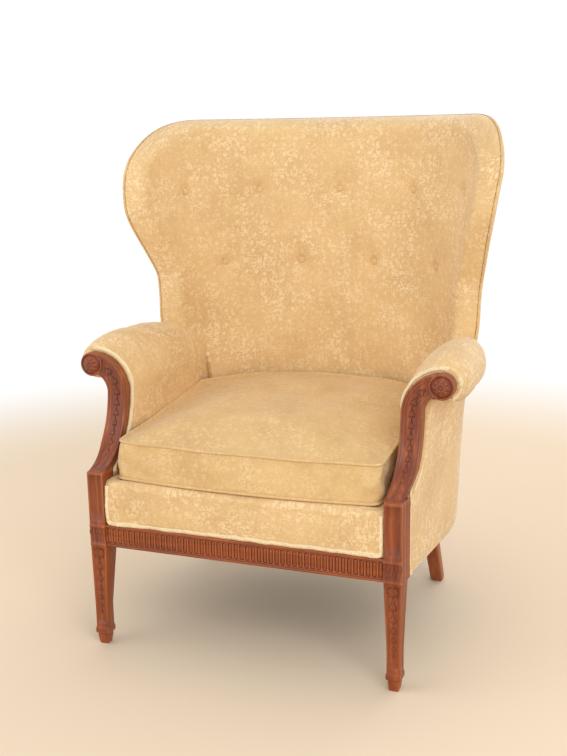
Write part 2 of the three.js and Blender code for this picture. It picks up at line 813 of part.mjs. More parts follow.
// Webbing, springs, hessian and dust cloth
{
  const [low, high] = [webbingBottom, webbingBottom + webbing.thick];
  const strips = [];
  const half = webbing.width / 2;
  for (const i of [-1, 0, 1]) {
    const y = spring.firstY + spring.pitchY * (i + 1);
    const [reachX] = layerPoint(shareAtDepth(y + half, railSeat), railSeat, webbing.overlap);
    strips.push(box(-reachX, reachX, y - half, y + half, low, high - webbing.sink));
    const x = spring.pitchX * i;
    const rearY = layerPoint(i * webbing.endShare, railSeat, webbing.overlap)[1];
    strips.push(box(x - half, x + half, rail.setBack + rail.rebateFrom + gap, rearY, low + webbing.sink, high));
  }
  add("seat_webbing", joined(strips), jute);
}
const springFoot = webbingBottom + webbing.thick + gap;
const hessianTop = deck.top - deck.thick - gap;
const hessianBottom = hessianTop - hessian;
function springPoints(x, y) {
  const { turns, stepsPerTurn, wire, endRadius, waistRadius } = spring;
  const [z0, z1] = [springFoot + wire, hessianBottom - gap - wire];
  const rise = z1 - z0;
  return span(turns * stepsPerTurn).map((t) => {
    const radius = lerp(waistRadius, endRadius, (2 * t - 1) ** 2);
    const a = 2 * Math.PI * turns * t;
    const level = t + (Math.sin(2 * Math.PI * t) / (2 * Math.PI)) * -0.45;
    return new THREE.Vector3(x + radius * Math.cos(a), y + radius * Math.sin(a), z0 + rise * level);
  });
}
function leastGap(points) {
  let least = Infinity;
  points.forEach((p, i) => {
    for (const other of points.slice(i + spring.stepsPerTurn / 2)) least = Math.min(least, p.distanceTo(other));
  });
  return least - 2 * spring.wire;
}
{
  let number = 0;
  for (const row of [0, 1, 2])
    for (const column of [-1, 0, 1]) {
      number += 1;
      const points = springPoints(column * spring.pitchX, spring.firstY + row * spring.pitchY);
      if (number === 1) console.log("least gap between spring turns", leastGap(points).toFixed(2), "mm");
      add(`seat_spring_${number}`, tube(points, spring.wire, spring.sides, false), springSteel);
    }
}
// Plan outline at a height, a depth inside the surface, from the front at y on both sides
function planOutline(z, depth, y, steps) {
  const side = span(steps).map((t) => layerPoint(lerp(0, shareAtDepth(y, z), t), z, depth).slice(0, 2));
  return [...side.slice(1).reverse().map(([a, b]) => [-a, b]), ...side].reverse();
}
{
  const back = layer.padStart;
  const inside = planOutline(hessianTop, back, post.depth + gap, 16);
  const front = deck.frontY + deck.borderThick + gap;
  const corners = [[-postInner + gap, post.depth], [-postInner + gap, front], [postInner - gap, front], [postInner - gap, post.depth]];
  add("spring_hessian", raised([...inside, ...corners], hessianBottom, hessianTop), jute);
}
{
  const low = rail.setBack + rail.rebateFrom + gap;
  const inside = planOutline(railBottom, layer.frameStart, post.depth + gap, 16);
  const corners = [
    [-postInner + gap, post.depth + gap],
    [-postInner + gap, low],
    [postInner - gap, low],
    [postInner - gap, post.depth + gap],
  ];
  const sheet = raised([...inside, ...corners], railBottom, railBottom + dustCloth);
  const holes = [-1, 1].map((side) => {
    const x = side * backLeg.kneeX;
    const [w, d] = [backLeg.kneeWidth / 2 + 1, backLeg.kneeDepth / 2 + 1];
    return box(x - w, x + w, backLeg.kneeY - d, backLeg.kneeY + d, 0, railTop);
  });
  add("dust_cloth", cut(sheet, holes), cottonCloth);
}

// Seat deck: a slab over the springs with a rolled front border that drops to the rail
{
  const half = postInner - gap;
  const { frontY, roll, borderThick, top, thick } = deck;
  const bottom = railTop + gap;
  const edge = arc(frontY + roll, top - roll, roll, 180, 90, 4);
  const border = throughX(
    [[frontY, bottom], ...edge, [frontY + borderThick, top], [frontY + borderThick, bottom]],
    -half,
    half,
  );
  const inside = planOutline(deck.top, layer.padStart, post.depth + gap, 16);
  const slab = raised(
    [...inside, [-half, post.depth], [-half, frontY + roll], [half, frontY + roll], [half, post.depth]],
    top - thick,
    top,
  );
  add("seat_deck", joined([border, slab]), damask);
}

// Inside of the back and wings: one padded cover with rolled edges, drawn in at the buttons
const edgeShares = [0.07, 0.32, 0.86, 1.7];
const edgeSteps = edgeShares.map((share) => share * backPad.roll);
const edgeEnd = edgeSteps[edgeSteps.length - 1];
const buttonColumns = [0, 0.08, 0.156, 0.246, 0.336, 0.424, 0.512, 0.59, 0.667];
const fullness = (d) => {
  const t = clamp(d / backPad.roll, 0, 1);
  return (1 - (1 - t) ** backPad.rollPower) ** (1 / backPad.rollPower);
};
const buttonPlaces = [
  ...upperButtonShares.map((q) => [q, button.upperRow]),
  ...lowerButtonShares.map((q) => [q, button.lowerRow]),
];
function padThickness(q, z) {
  const a = Math.abs(q);
  return lerp(backPad.center, backPad.wing, smooth(a));
}
function dimpleAt(q, z) {
  let sum = 0;
  for (const [bq, bz] of buttonPlaces) {
    const d = Math.hypot(arcOf(q, z) - arcOf(bq, z), z - bz);
    sum += backPad.dimple * Math.exp(-((d / backPad.dimpleRadius) ** 2));
  }
  return sum;
}
function backCover(grow) {
  const columnsAt = (z) => {
    const rim = arcOf(rimShare(z), z);
    const inner = shareOfArc(rim - edgeEnd, z);
    const squeeze = Math.min(inner / 0.75, 1);
    const middle = buttonColumns.map((q) => [q * squeeze, rim - arcOf(q * squeeze, z)]);
    const last = middle[middle.length - 1][0];
    const between = (last + inner) / 2;
    const right = [
      ...middle,
      [between, rim - arcOf(between, z)],
      ...[...edgeSteps].reverse().map((d) => [shareOfArc(rim - d, z), d]),
      [shareOfArc(rim, z), 0],
    ];
    return [...right.slice(1).reverse().map(([q, d]) => [-q, d]), ...right];
  };
  const levels = [padBottom, 440, 520, wing.seamTop, wing.foot, 608, 635, 668, 700, 730, 765, 810, 855, 896, 922];
  const count = columnsAt(wing.corner).length;
  const front = [];
  const back = [];
  const place = (z, top, column) => {
    const [q, side] = columnsAt(Math.min(z, wing.corner))[column];
    const over = Math.max(top - z, 0);
    const loose = z <= wing.foot ? 1 : fullness(side);
    const full = loose * fullness(over);
    const thick = padThickness(q, z);
    const far = z <= wing.foot ? 1 : smooth(side / backPad.backRise);
    const behind = lerp(layer.frameStart, layer.padStart, far * smooth(over / backPad.backRise));
    const hollow = backPad.hollow * Math.exp(-(((side - 62) / backPad.hollowWidth) ** 2)) * smooth((z - 640) / 120);
    const depth = behind + (thick - behind) * full - (dimpleAt(q, z) + hollow * smooth(over / 90)) * full;
    const outward = Math.max(depth, behind + 0.2);
    front[front.length - 1].push(layerPoint(q, z, outward + grow));
    back[back.length - 1].push(layerPoint(q, z, behind - grow));
  };
  for (const z of levels) {
    front.push([]);
    back.push([]);
    for (let j = 0; j < count; j++) place(z, topAt(columnsAt(wing.corner)[j][1]), j);
  }
  for (const down of [...edgeSteps].reverse().concat(0)) {
    front.push([]);
    back.push([]);
    for (let j = 0; j < count; j++) {
      const top = topAt(columnsAt(wing.corner)[j][1]);
      place(top - down, top, j);
    }
  }
  return between(front, back);
}
add("inside_back", backCover(0), damask);

// Covered buttons, seated in the hollows
{
  const { radius, edge, dome, seat, steps } = button;
  const profile = [[0, -seat], [radius, 0], [radius, edge], [radius * 0.8, edge + dome * 0.6], [0, edge + dome]];
  const shape = new THREE.LatheGeometry(profile.map(([r, h]) => new THREE.Vector2(r, h)), steps);
  buttonPlaces.forEach(([q, z], i) => {
    const depth = padThickness(q, z) - dimpleAt(q, z) + gap + seat;
    const here = new THREE.Vector3(...layerPoint(q, z, depth));
    const outward = new THREE.Vector3(...layerPoint(q, z, depth + button.radius)).sub(here).normalize();
    const mesh = add(`back_button_${i + 1}`, tidied(shape), damask);
    mesh.position.copy(here);
    mesh.quaternion.setFromUnitVectors(unitY, outward);
  });
}

// Outside covers of the back, the wings and the arms
const seamShare = 0.5;
const seamGap = 0.0007;
const cornerArc = arcOf(rimShare(wing.corner), wing.corner);
const coverTop = (q) => topAt(cornerArc - arcOf(Math.abs(q), wing.corner));
function coverGrid(levels, crownLevels, from, to, columns, depth) {
  const row = (zOf) =>
    span(columns).map((u) => {
      const zTop = coverTop(lerp(from(wing.corner), to(wing.corner), u));
      const z = zOf(zTop);
      const zq = Math.min(z, wing.corner);
      return layerPoint(lerp(from(zq), to(zq), u), z, depth);
    });
  const last = levels[levels.length - 1];
  return [...levels.map((z) => row(() => z)), ...crownLevels.map((t) => row((top) => lerp(last, top, t)))];
}
const cover = (levels, from, to, columns, grow = 0) =>
  between(
    coverGrid(levels, [0.35, 0.65, 0.85, 1], from, to, columns, -grow),
    coverGrid(levels, [0.35, 0.65, 0.85, 1], from, to, columns, layer.skin + grow),
  );
const backLevels = [railBottom, 307, 400, 490, 560, 620, 680, 740, 800, 860, 930];
add("outside_back", cover(backLevels, fixed(seamGap - seamShare), fixed(seamShare - seamGap), 14), damask);
const wingLevels = [armPad.tuckBack + gap, 540, wing.seamTop, wing.foot + 4, 640, 680, 710, 740, 770, 800, 830, 860, 890, 930];
const wingFront = (z) => (z < wing.foot ? shareAtDepth(wingFrame.frontY, z) : rimShare(z));
const wingCover = (grow) =>
  cover(
    wingLevels.map((z, i) => (i ? z : z - grow)),
    fixed(seamShare + seamGap),
    (z) => wingFront(z) + grow * seamGap,
    6,
    grow,
  );
addPair("outside_wing", wingCover(0), damask);
const tuckAt = (y) =>
  lerp(armPad.tuckFront, armPad.tuckBack, smooth((y - stumpBackY) / armPad.tuckRun));
const tuckLine = span(12).map((t) => lerp(0, barrel.backY, t)).map((y) => [y, tuckAt(y)]);
const behindStump = (set) => [
  [post.depth + set, 0],
  ...shifted(backCurve, set),
  [barrel.backY, stumpTop],
  [barrel.backY, 0],
];
const armPlank = (outline) => throughX(outline, 0, frameWidth);
{
  const levels = [railBottom, 307, 400, 445, 490, armPad.tuckFront];
  const grid = (depth) =>
    levels.map((z) =>
      span(14).map((u) => layerPoint(lerp(seamShare + 2 * seamGap, shareAtDepth(post.depth / 2, z), u), z, depth)),
    );
  const below = [[0, 0], ...tuckLine.map(([y, z]) => [y, z - 6 * gap]), [barrel.backY, 0]];
  const panel = common(between(grid(0), grid(layer.skin)), armPlank(behindStump(gap)));
  addPair("outside_arm", common(panel, armPlank(below)), damask);
}

// The arm's profile at a distance y behind the posts, padded or bare
const armRun = (y) => clamp((y - stumpBackY) / (armPad.end - stumpBackY), 0, 1);
const drifted = (y) => ([x, z]) => {
  const share = clamp((x - stumpInner) / (scrollX - stumpInner), 0, 1);
  const t = armRun(y);
  return [x - lerp(armPad.flatDrift * t ** 1.5, armPad.scrollDrift * t ** 3, share), y, z];
};
const scrollRadiusAt = (y) => lerp(stump.scrollRadius, armPad.endRadius, smooth(armRun(y) * 3.4 - 2.4));
const scrollLevel = (y) => stump.shoulder + stump.shoulderRadius - scrollRadiusAt(y);
const fullnessCurve = curveThrough([[0, 0.42], [0.05, 0.62], [0.12, 0.83], [0.23, 1], [0.57, 1], [0.87, 0.45], [1, 0.3]]);
const padAt = (y) => fullnessCurve(armRun(y));
function armOutline(y, set, lowest) {
  const scroll = scrollRadiusAt(y) + set;
  return [
    [stumpInner - set, lowest],
    ...arc(shoulderX, stump.shoulder, stump.shoulderRadius + set, 173, 97, 6),
    ...arc(scrollX, scrollLevel(y), scroll, 84, -123, 10),
    [shoulderX - hookRadius * 0.78, stump.shoulder + hookRadius * 0.66],
    [stumpOuter + set, lowest],
  ];
}
const armStations = [0.02, 0.06, 0.12, 0.23, 0.4, 0.57, 0.7, 0.82, 0.92, 1];
const armY = armStations.map((t) => lerp(stumpBackY, armPad.end, t));
{
  const rings = [stumpBackY + gap, ...armY.filter((y) => y < armRail.end), armRail.end].map((y) =>
    armOutline(y, -armRail.inset, armRail.bottom).map(drifted(y)),
  );
  addPair("arm_rail", loft(rings, ([x, , z]) => [x, z]), beech);
}
function armRing(y) {
  const pad = padAt(y);
  const place = drifted(y);
  const tuck = tuckAt(y);
  const [surfaceX] = surfacePoint(shareAtDepth(y, tuck), tuck);
  const around = (x, z, radius, from, to, steps, first, last) =>
    span(steps).map((t) => {
      const a = radians(lerp(from, to, t));
      const r = radius + lerp(first, last, t) * pad;
      return place([x + r * Math.cos(a), z + r * Math.sin(a)]);
    });
  const { inner, top, outer, thick } = armPad;
  const shoulder = around(shoulderX, stump.shoulder, stump.shoulderRadius, 180, 97, 7, inner, top);
  const end = lerp(-68, -40, smooth(armRun(y) * 2));
  const scroll = around(scrollX, scrollLevel(y), scrollRadiusAt(y), 84, end, 8, top, outer);
  const last = scroll[scroll.length - 1];
  const tucked = [surfaceX + gap, y, tuck];
  const sag = [(last[0] + tucked[0]) / 2, y, (last[2] + tucked[2]) / 2 - 3 * pad];
  const under = tuck + 3;
  const hook = under > stump.shoulder ? shoulderX - Math.sqrt(hookRadius ** 2 - (under - stump.shoulder) ** 2) : 0;
  const inside = [Math.max(surfaceX - 6, place([hook, 0])[0] + 2 * gap), y, under];
  const bareScroll = arc(scrollX, scrollLevel(y), scrollRadiusAt(y) + gap, -123, 84, 8).map(place);
  const bareShoulder = arc(shoulderX, stump.shoulder, stump.shoulderRadius + gap, 97, 173, 5).map(place);
  const hidden = stumpInner - inner + thick;
  return [
    place([stumpInner - inner * pad, padBottom]),
    place([stumpInner - inner * pad, 440]),
    ...shoulder,
    ...scroll,
    sag,
    tucked,
    inside,
    ...bareScroll,
    ...bareShoulder,
    place([stumpInner - gap, armRail.bottom - gap]),
    place([hidden, armRail.bottom - gap]),
    place([hidden, padBottom]),
  ];
}
{
  const foremost = armRing(stumpBackY).map(([x, , z]) => [x, post.depth + gap, z]);
  const rings = [foremost, armRing(stumpBackY), ...armY.map(armRing)];
  const whole = loft(rings, ([x, , z]) => [x, z]);
  const fitted = common(whole, armPlank(behindStump(gap)));
  const grow = 6 * gap;
  const back = backCover(grow);
  const neighbours = [back, back.clone().translate(0, 0, -grow), wingUpright(grow), wingCover(grow)];
  addPair("inside_arm", cut(fitted, neighbours), damask);
}

// Loose seat cushion: crowned top, drawn-in boxing and two welts
const cushionHalf = stumpInner - armPad.inner - 4 - cushion.sideClearance - 2 * welt.radius - gap;
const cushionLevel = deck.top;
const backEdge = (q) =>
  layerPoint(q, cushionLevel, padThickness(q, cushionLevel) + cushion.backClearance + 2 * welt.radius + gap);
function cushionOutline() {
  const { frontY, frontBulge, cornerRadius } = cushion;
  const flat = cushionHalf - cornerRadius;
  const front = span(6).map((t) => [flat * t, frontY - frontBulge * (1 - t * t)]);
  const corner = arc(flat, frontY + cornerRadius, cornerRadius, -90, 0, 4).slice(1);
  let q = 0;
  while (backEdge(q + 0.01)[0] < cushionHalf) q += 0.01;
  const back = span(9).map((t) => backEdge(q * (1 - t)).slice(0, 2));
  const sideY = corner[corner.length - 1][1];
  const side = [1, 2, 3, 4].map((i) => [cushionHalf, lerp(sideY, back[0][1], i / 5)]);
  const right = [...front, ...corner, ...side, ...back];
  return [...right, ...right.slice(1, -1).reverse().map(([x, y]) => [-x, y])];
}
const cushionEdge = cushionOutline();
const cushionMiddle = (cushion.frontY + cushionEdge[24][1]) / 2;
const cushionLength = cushionEdge[23][1] - cushion.frontY;
const edgeHeight = (y) =>
  cushion.frontEdge + cushion.backRise * clamp((y - cushion.frontY) / cushionLength, 0, 1) ** 1.3;
const cushionBottom = deck.top + cushion.bottomClearance;
const outwardAt = cushionEdge.map((_, i) => {
  const n = cushionEdge.length;
  const [a, b] = [cushionEdge[(i + n - 1) % n], cushionEdge[(i + 1) % n]];
  const length = Math.hypot(b[0] - a[0], b[1] - a[1]);
  return [(b[1] - a[1]) / length, -(b[0] - a[0]) / length];
});
const leanAt = (y, t) => cushion.frontLean * (1 - t) * clamp(1 - y / cushionMiddle, 0, 1);
// A point round the cushion's side, from its lower edge at 0 to its upper edge at 1
function boxingPoint(i, t, out) {
  const [x, y] = cushionEdge[i];
  const [nx, ny] = outwardAt[i];
  const z = lerp(cushionBottom + welt.radius, edgeHeight(y), t);
  return [x + nx * out, y + ny * out - leanAt(y, t), z];
}
{
  const rings = cushionEdge.map((_, i) => i).concat(0);
  const towards = (i, t, share, z) => {
    const [x, y] = boxingPoint(i, t, 0);
    return [x * share, lerp(cushionMiddle, y, share), z(y)];
  };
  const centerTop = cushion.frontEdge + cushion.crown + cushion.sideRise;
  const topRow = (share) =>
    rings.map((i) => towards(i, 1, share, (y) => lerp(centerTop, edgeHeight(y), share ** 2.6)));
  const bottomRow = (share) => rings.map((i) => towards(i, 0, share, () => cushionBottom));
  const boxingRow = (t) => rings.map((i) => boxingPoint(i, t, cushion.boxingSwell * Math.sin(Math.PI * t)));
  const top = [0, 0.35, 0.6, 0.78, 0.9, 0.97, 1].map(topRow);
  const rest = [bottomRow(0), bottomRow(0.5), bottomRow(0.98), ...[0, 0.25, 0.5, 0.75].map(boxingRow)];
  add("seat_cushion", closedGrid(top, rest), wornDamask);
  for (const [name, t] of [["top", 1], ["bottom", 0]]) {
    const route = cushionEdge.map((_, i) => new THREE.Vector3(...boxingPoint(i, t, welt.radius + gap)));
    add(`cushion_welt_${name}`, tube(route, welt.radius, welt.sides, true), wornDamask);
  }
}

// Braid over the tacked edges
{
  const half = postInner - gap;
  const [low, high] = [railTop + gap, deck.top - deck.roll];
  const { width, thick } = gimp;
  const outline = [
    [-half, low],
    [half, low],
    [half, high],
    [half - width, high],
    [half - width, low + width],
    [width - half, low + width],
    [width - half, high],
    [-half, high],
  ];
  add("front_gimp", throughY(outline, deck.frontY - gap - thick, deck.frontY - gap), braid);
}
{
  const front = armRing(stumpBackY).map(([x, , z]) => [x, z]).slice(2, 17);
  const bare = [
    ...arc(scrollX, scrollZ, stump.scrollRadius + 3 * gap, -68, 84, 8),
    ...arc(shoulderX, stump.shoulder, stump.shoulderRadius + 3 * gap, 97, 180, 7),
  ];
  const band = throughY([...front, ...bare], stumpBackY - gimp.thick, stumpBackY);
  addPair("arm_gimp", band, braid);
}
{
  const seam = [[post.depth, railBottom], ...backCurve.slice(0, -1), [stumpBackY, armPad.tuckFront - gimp.width]];
  const strip = (depth) =>
    seam.map(([y, z]) =>
      [0, 1].map((u) => {
        const at = y + 2 * gap + gimp.width * u;
        return layerPoint(shareAtDepth(at, z), z, depth);
      }),
    );
  addPair("panel_gimp", between(strip(-gap - gimp.thick), strip(-gap)), braid);
}

// The chair stands with the middle of its depth on the origin
const bounds = new THREE.Box3().setFromObject(chair);
chair.position.y = -(bounds.min.y + bounds.max.y) / 2;

export default chair;
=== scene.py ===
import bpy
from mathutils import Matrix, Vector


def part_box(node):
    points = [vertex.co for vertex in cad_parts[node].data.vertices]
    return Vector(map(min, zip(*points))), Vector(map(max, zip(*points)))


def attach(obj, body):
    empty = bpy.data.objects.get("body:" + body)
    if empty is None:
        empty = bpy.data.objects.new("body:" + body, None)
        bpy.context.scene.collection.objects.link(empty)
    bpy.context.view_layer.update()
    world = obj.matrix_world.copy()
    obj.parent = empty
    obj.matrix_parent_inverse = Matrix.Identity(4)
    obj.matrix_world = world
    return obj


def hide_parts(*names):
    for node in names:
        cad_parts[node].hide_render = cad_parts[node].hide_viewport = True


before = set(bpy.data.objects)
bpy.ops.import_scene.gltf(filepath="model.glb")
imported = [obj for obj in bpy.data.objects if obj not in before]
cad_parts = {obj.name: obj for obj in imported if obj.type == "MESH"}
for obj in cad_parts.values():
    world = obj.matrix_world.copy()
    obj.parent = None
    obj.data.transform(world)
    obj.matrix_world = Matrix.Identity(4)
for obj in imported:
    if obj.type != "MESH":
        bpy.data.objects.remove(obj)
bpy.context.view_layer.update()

import math

import bmesh
import bpy
import numpy as np
from mathutils import Matrix, Vector
from mathutils.bvhtree import BVHTree

# Sizes are in millimetres, with y measured behind the front posts' faces. They turn into metres in the
# frame's own place when a mesh is made.
millimetre = 0.001
scene = bpy.context.scene
postProud = 1.6  # the carved block stands this far in front of the post
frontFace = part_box("front_leg_right")[0].y / millimetre + postProud

chair = {
    "frameWidth": 650, "railBottom": 217, "railTop": 262.4, "height": 1058,
    "postWidth": 35, "postDepth": 46, "postTop": 372,
}
postOuter = chair["frameWidth"] / 2
postInner = postOuter - chair["postWidth"]


def lerp(a, b, t):
    return a + (b - a) * t


def smooth(t):
    t = np.clip(t, 0, 1)
    return t * t * (3 - 2 * t)


def curveThrough(rows):
    # smooth curve through rows of (position, value)
    xs, ys = np.array(rows, float).T
    slopes = np.gradient(ys, xs)
    slopes[1:-1] = (ys[2:] - ys[:-2]) / (xs[2:] - xs[:-2])

    def value(x):
        at = np.clip(x, xs[0], xs[-1])
        i = np.clip(np.searchsorted(xs, at, side="right"), 1, len(xs) - 1)
        w = xs[i] - xs[i - 1]
        t = (at - xs[i - 1]) / w
        lead = w * t * (1 - t) * (slopes[i - 1] * (1 - t) - slopes[i] * t)
        return ys[i - 1] + (ys[i] - ys[i - 1]) * t * t * (3 - 2 * t) + lead

    return value


# Camera at the photograph's angle
camera = {
    "place": (0.8012, -2.1832, 1.0342),
    "azimuth": 21.05, "elevation": 12.79, "roll": -1.055, "lens": 52.24,
}


def makeCamera():
    az, el, roll = (math.radians(camera[k]) for k in ("azimuth", "elevation", "roll"))
    back = Vector((math.sin(az) * math.cos(el), -math.cos(az) * math.cos(el), math.sin(el)))
    right = Vector((math.cos(az), math.sin(az), 0))
    up = back.cross(right)
    turnedRight = right * math.cos(roll) + up * math.sin(roll)
    turnedUp = up * math.cos(roll) - right * math.sin(roll)
    data = bpy.data.cameras.new("camera")
    data.sensor_width = 36
    data.lens = camera["lens"]
    seen = bpy.data.objects.new("camera", data)
    axes = Matrix((turnedRight, turnedUp, back)).transposed().to_4x4()
    seen.matrix_world = Matrix.Translation(camera["place"]) @ axes
    scene.collection.objects.link(seen)
    scene.camera = seen


makeCamera()
print("camera placed")


# Shader maths: a Field is one output socket, and sums on Fields add Math nodes
class Field:
    def __init__(self, finish, socket):
        self.finish, self.socket = finish, socket

    def maths(self, operation, a, b=0.0):
        return self.finish.node("Math", {"operation": operation}, {0: a, 1: b})["Value"]

    def __add__(self, other):
        return self.maths("ADD", self, other)

    def __sub__(self, other):
        return self.maths("SUBTRACT", self, other)

    def __rsub__(self, other):
        return self.maths("SUBTRACT", other, self)

    def __mul__(self, other):
        return self.maths("MULTIPLY", self, other)

    def __truediv__(self, other):
        return self.maths("DIVIDE", self, other)

    def __rtruediv__(self, other):
        return self.maths("DIVIDE", other, self)

    def __abs__(self):
        return self.maths("ABSOLUTE", self)

    __radd__ = __add__
    __rmul__ = __mul__

    def sin(self):
        return self.maths("SINE", self)

    def cos(self):
        return self.maths("COSINE", self)

    def atLeast(self, other):
        return self.maths("MAXIMUM", self, other)

    def ramp(self, low, high, start=0.0, end=1.0):
        sockets = {"Value": self, "From Min": low, "From Max": high, "To Min": start, "To Max": end}
        settings = {"interpolation_type": "SMOOTHSTEP"}
        return self.finish.node("MapRange", settings, sockets)["Result"]


class Made:
    def __init__(self, finish, node):
        self.finish, self.made = finish, node

    def __getitem__(self, key):
        return Field(self.finish, self.made.outputs[key])


class Tree:
    def __init__(self, tree):
        self.tree = tree
        tree.nodes.clear()

    def node(self, kind, settings, sockets):
        made = self.tree.nodes.new("ShaderNode" + kind)
        for key, value in settings.items():
            setattr(made, key, value)
        for key, value in sockets.items():
            self.feed(made.inputs[key], value)
        return Made(self, made)

    def feed(self, socket, value):
        if isinstance(value, Field):
            self.tree.links.new(value.socket, socket)
        else:
            socket.default_value = value


class Finish(Tree):
    def __init__(self, name, settings):
        self.material = bpy.data.materials.new(name)
        self.material.use_nodes = True
        super().__init__(self.material.node_tree)
        self.shader = self.node("BsdfPrincipled", {}, settings).made
        surface = Made(self, self.shader)["BSDF"]
        self.node("OutputMaterial", {}, {"Surface": surface})

    def surface(self, **sockets):
        names = {"color": "Base Color", "roughness": "Roughness", "normal": "Normal", "glow": "Emission Color"}
        for key, value in sockets.items():
            self.feed(self.shader.inputs[names[key]], value)
        return self.material

    def mix(self, share, a, b):
        return self.node("Mix", {"data_type": "RGBA"}, {0: share, 6: a, 7: b})[2]

    def place(self, scale=(1, 1, 1)):
        # object coordinates in millimetres, stretched by scale
        at = self.node("TexCoord", {}, {})["Object"]
        size = [1000 * s for s in scale]
        return self.node("VectorMath", {"operation": "MULTIPLY"}, {0: at, 1: size})["Vector"]

    def cloth(self):
        # the fabric's own width and length, in millimetres
        return self.node("UVMap", {"uv_map": "cloth"}, {})["UV"]

    def noise(self, at, size, detail=3, roughness=0.5):
        sockets = {"Vector": at, "Scale": 1 / size, "Detail": detail, "Roughness": roughness}
        return self.node("TexNoise", {}, sockets)["Fac"]

    def bump(self, height, strength, distance):
        sockets = {"Height": height, "Strength": strength, "Distance": distance * millimetre}
        return self.node("Bump", {}, sockets)["Normal"]

    def scattered(self, at, cell, randomness):
        # cells scattered over the cloth: their own values, and the way from each cell's middle
        settings = {"voronoi_dimensions": "2D", "feature": "F1"}
        sockets = {"Vector": at, "Scale": 1 / cell, "Randomness": randomness}
        cells = self.node("TexVoronoi", settings, sockets)
        way = self.node("VectorMath", {"operation": "SUBTRACT"}, {0: at, 1: cells["Position"]})["Vector"]
        return cells, way, self.node("SeparateXYZ", {}, {0: way})


def shade(r, g, b):
    # a colour written as it looks on screen, 0 to 255
    parts = [c / 255 for c in (r, g, b)]
    return (*[c / 12.92 if c <= 0.04045 else ((c + 0.055) / 1.055) ** 2.4 for c in parts], 1.0)


# Upholstery fabric: gold damask with a small self-coloured sprig of leaves and blossoms
damaskLook = {
    "ground": shade(222, 185, 131), "motif": shade(248, 224, 182), "shadow": shade(206, 167, 114),
    "leafCell": 6.8, "leafLength": 4.3, "leafWidth": 1.6, "blossomCell": 23, "blossomRadius": 4.9,
    "sprigArea": 26, "fadeArea": 110, "stainSize": 150, "thread": 1.4,
    "worn": shade(222, 190, 124), "wornArea": 60, "motifShare": 0.62, "roughness": 0.74,
}


def leaves(finish, at, look, grown=1.0, stretched=1.0):
    length, width = look["leafLength"] * stretched, look["leafWidth"] * stretched
    cells, _, parts = finish.scattered(at, look["leafCell"] * grown, 0.85)
    luck = finish.node("SeparateColor", {}, {0: cells["Color"]})
    turn = luck["Red"] * (2 * math.pi)
    along = parts["X"] * turn.cos() + parts["Y"] * turn.sin()
    across = parts["Y"] * turn.cos() - parts["X"] * turn.sin()
    bow = along * along / (length * length)
    blade = (1 - bow) * width - abs(across + bow * 0.7 * width)
    return blade.ramp(-0.35, 0.5), luck["Green"]


def blossoms(finish, at, look):
    # five-petalled, with a fainter middle
    _, way, parts = finish.scattered(at, look["blossomCell"], 0.6)
    reach = finish.node("VectorMath", {"operation": "LENGTH"}, {0: way})["Value"]
    angle = finish.node("Math", {"operation": "ARCTAN2"}, {0: parts["Y"], 1: parts["X"]})["Value"]
    petals = abs((angle * 2.5).cos()) * 0.52 + 0.48
    edge = petals * look["blossomRadius"] - reach
    return edge.ramp(-0.3, 0.6) * (reach.ramp(0.5, 1.3) * 0.4 + 0.6)


def damask(name, wear=0.0, look=damaskLook):
    finish = Finish(name, {"Specular IOR Level": 0.3, "Sheen Weight": 0.2, "Sheen Roughness": 0.45})
    at = finish.cloth()
    drift = finish.noise(at, look["sprigArea"], 2)
    small, luck = leaves(finish, at, look)
    large, _ = leaves(finish, at, look, 1.7, 1.5)
    stems = finish.node(
        "TexVoronoi",
        {"voronoi_dimensions": "2D", "feature": "DISTANCE_TO_EDGE"},
        {"Vector": at, "Scale": 1 / look["blossomCell"], "Randomness": 1.0},
    )["Distance"] * look["blossomCell"]
    sprigs = small * drift.ramp(0.4, 0.54) * luck.ramp(0.05, 0.3)
    sprigs = sprigs.atLeast(large * drift.ramp(0.48, 0.6) * 0.9)
    shifted = finish.node("VectorMath", {"operation": "ADD"}, {0: at, 1: (3.7, 41.3, 0)})["Vector"]
    between, _ = leaves(finish, shifted, look, 1.15)
    sprigs = sprigs.atLeast(between * drift.ramp(0.56, 0.44) * 0.45)
    sprigs = sprigs.atLeast(blossoms(finish, at, look))
    sprigs = sprigs.atLeast((0.45 - stems).ramp(0, 0.3) * 0.6)
    fade = finish.noise(at, look["fadeArea"], 2).ramp(0.36, 0.62, 0.4, 1.0)
    share = sprigs * fade * (1 - wear)
    threads = finish.noise(at, look["thread"], 2)
    stain = finish.noise(at, look["stainSize"], 4, 0.6)
    ground = finish.mix(stain.ramp(0.35, 0.75), look["ground"], look["shadow"])
    ground = finish.mix(share * look["motifShare"], ground, look["motif"])
    rubbed = finish.noise(at, look["wornArea"], 3).ramp(0.42, 0.75)
    ground = finish.mix(rubbed * 0.25, ground, look["worn"])
    ground = finish.mix(threads.ramp(0.3, 0.7) * 0.16, ground, look["shadow"])
    rough = look["roughness"] - share * 0.26
    relief = share * 0.35 + threads * 0.12
    return finish.surface(color=ground, roughness=rough, normal=finish.bump(relief, 0.55, 0.5))


# Mahogany: red-brown, with painted shade darkening the carving's hollows, and rubbed paler on its edges
mahoganyLook = {
    "dark": shade(116, 50, 21), "middle": shade(152, 72, 28), "light": shade(188, 102, 46),
    "hollow": shade(58, 22, 10), "rubbed": shade(202, 122, 66), "grain": 7, "roughness": 0.36,
}


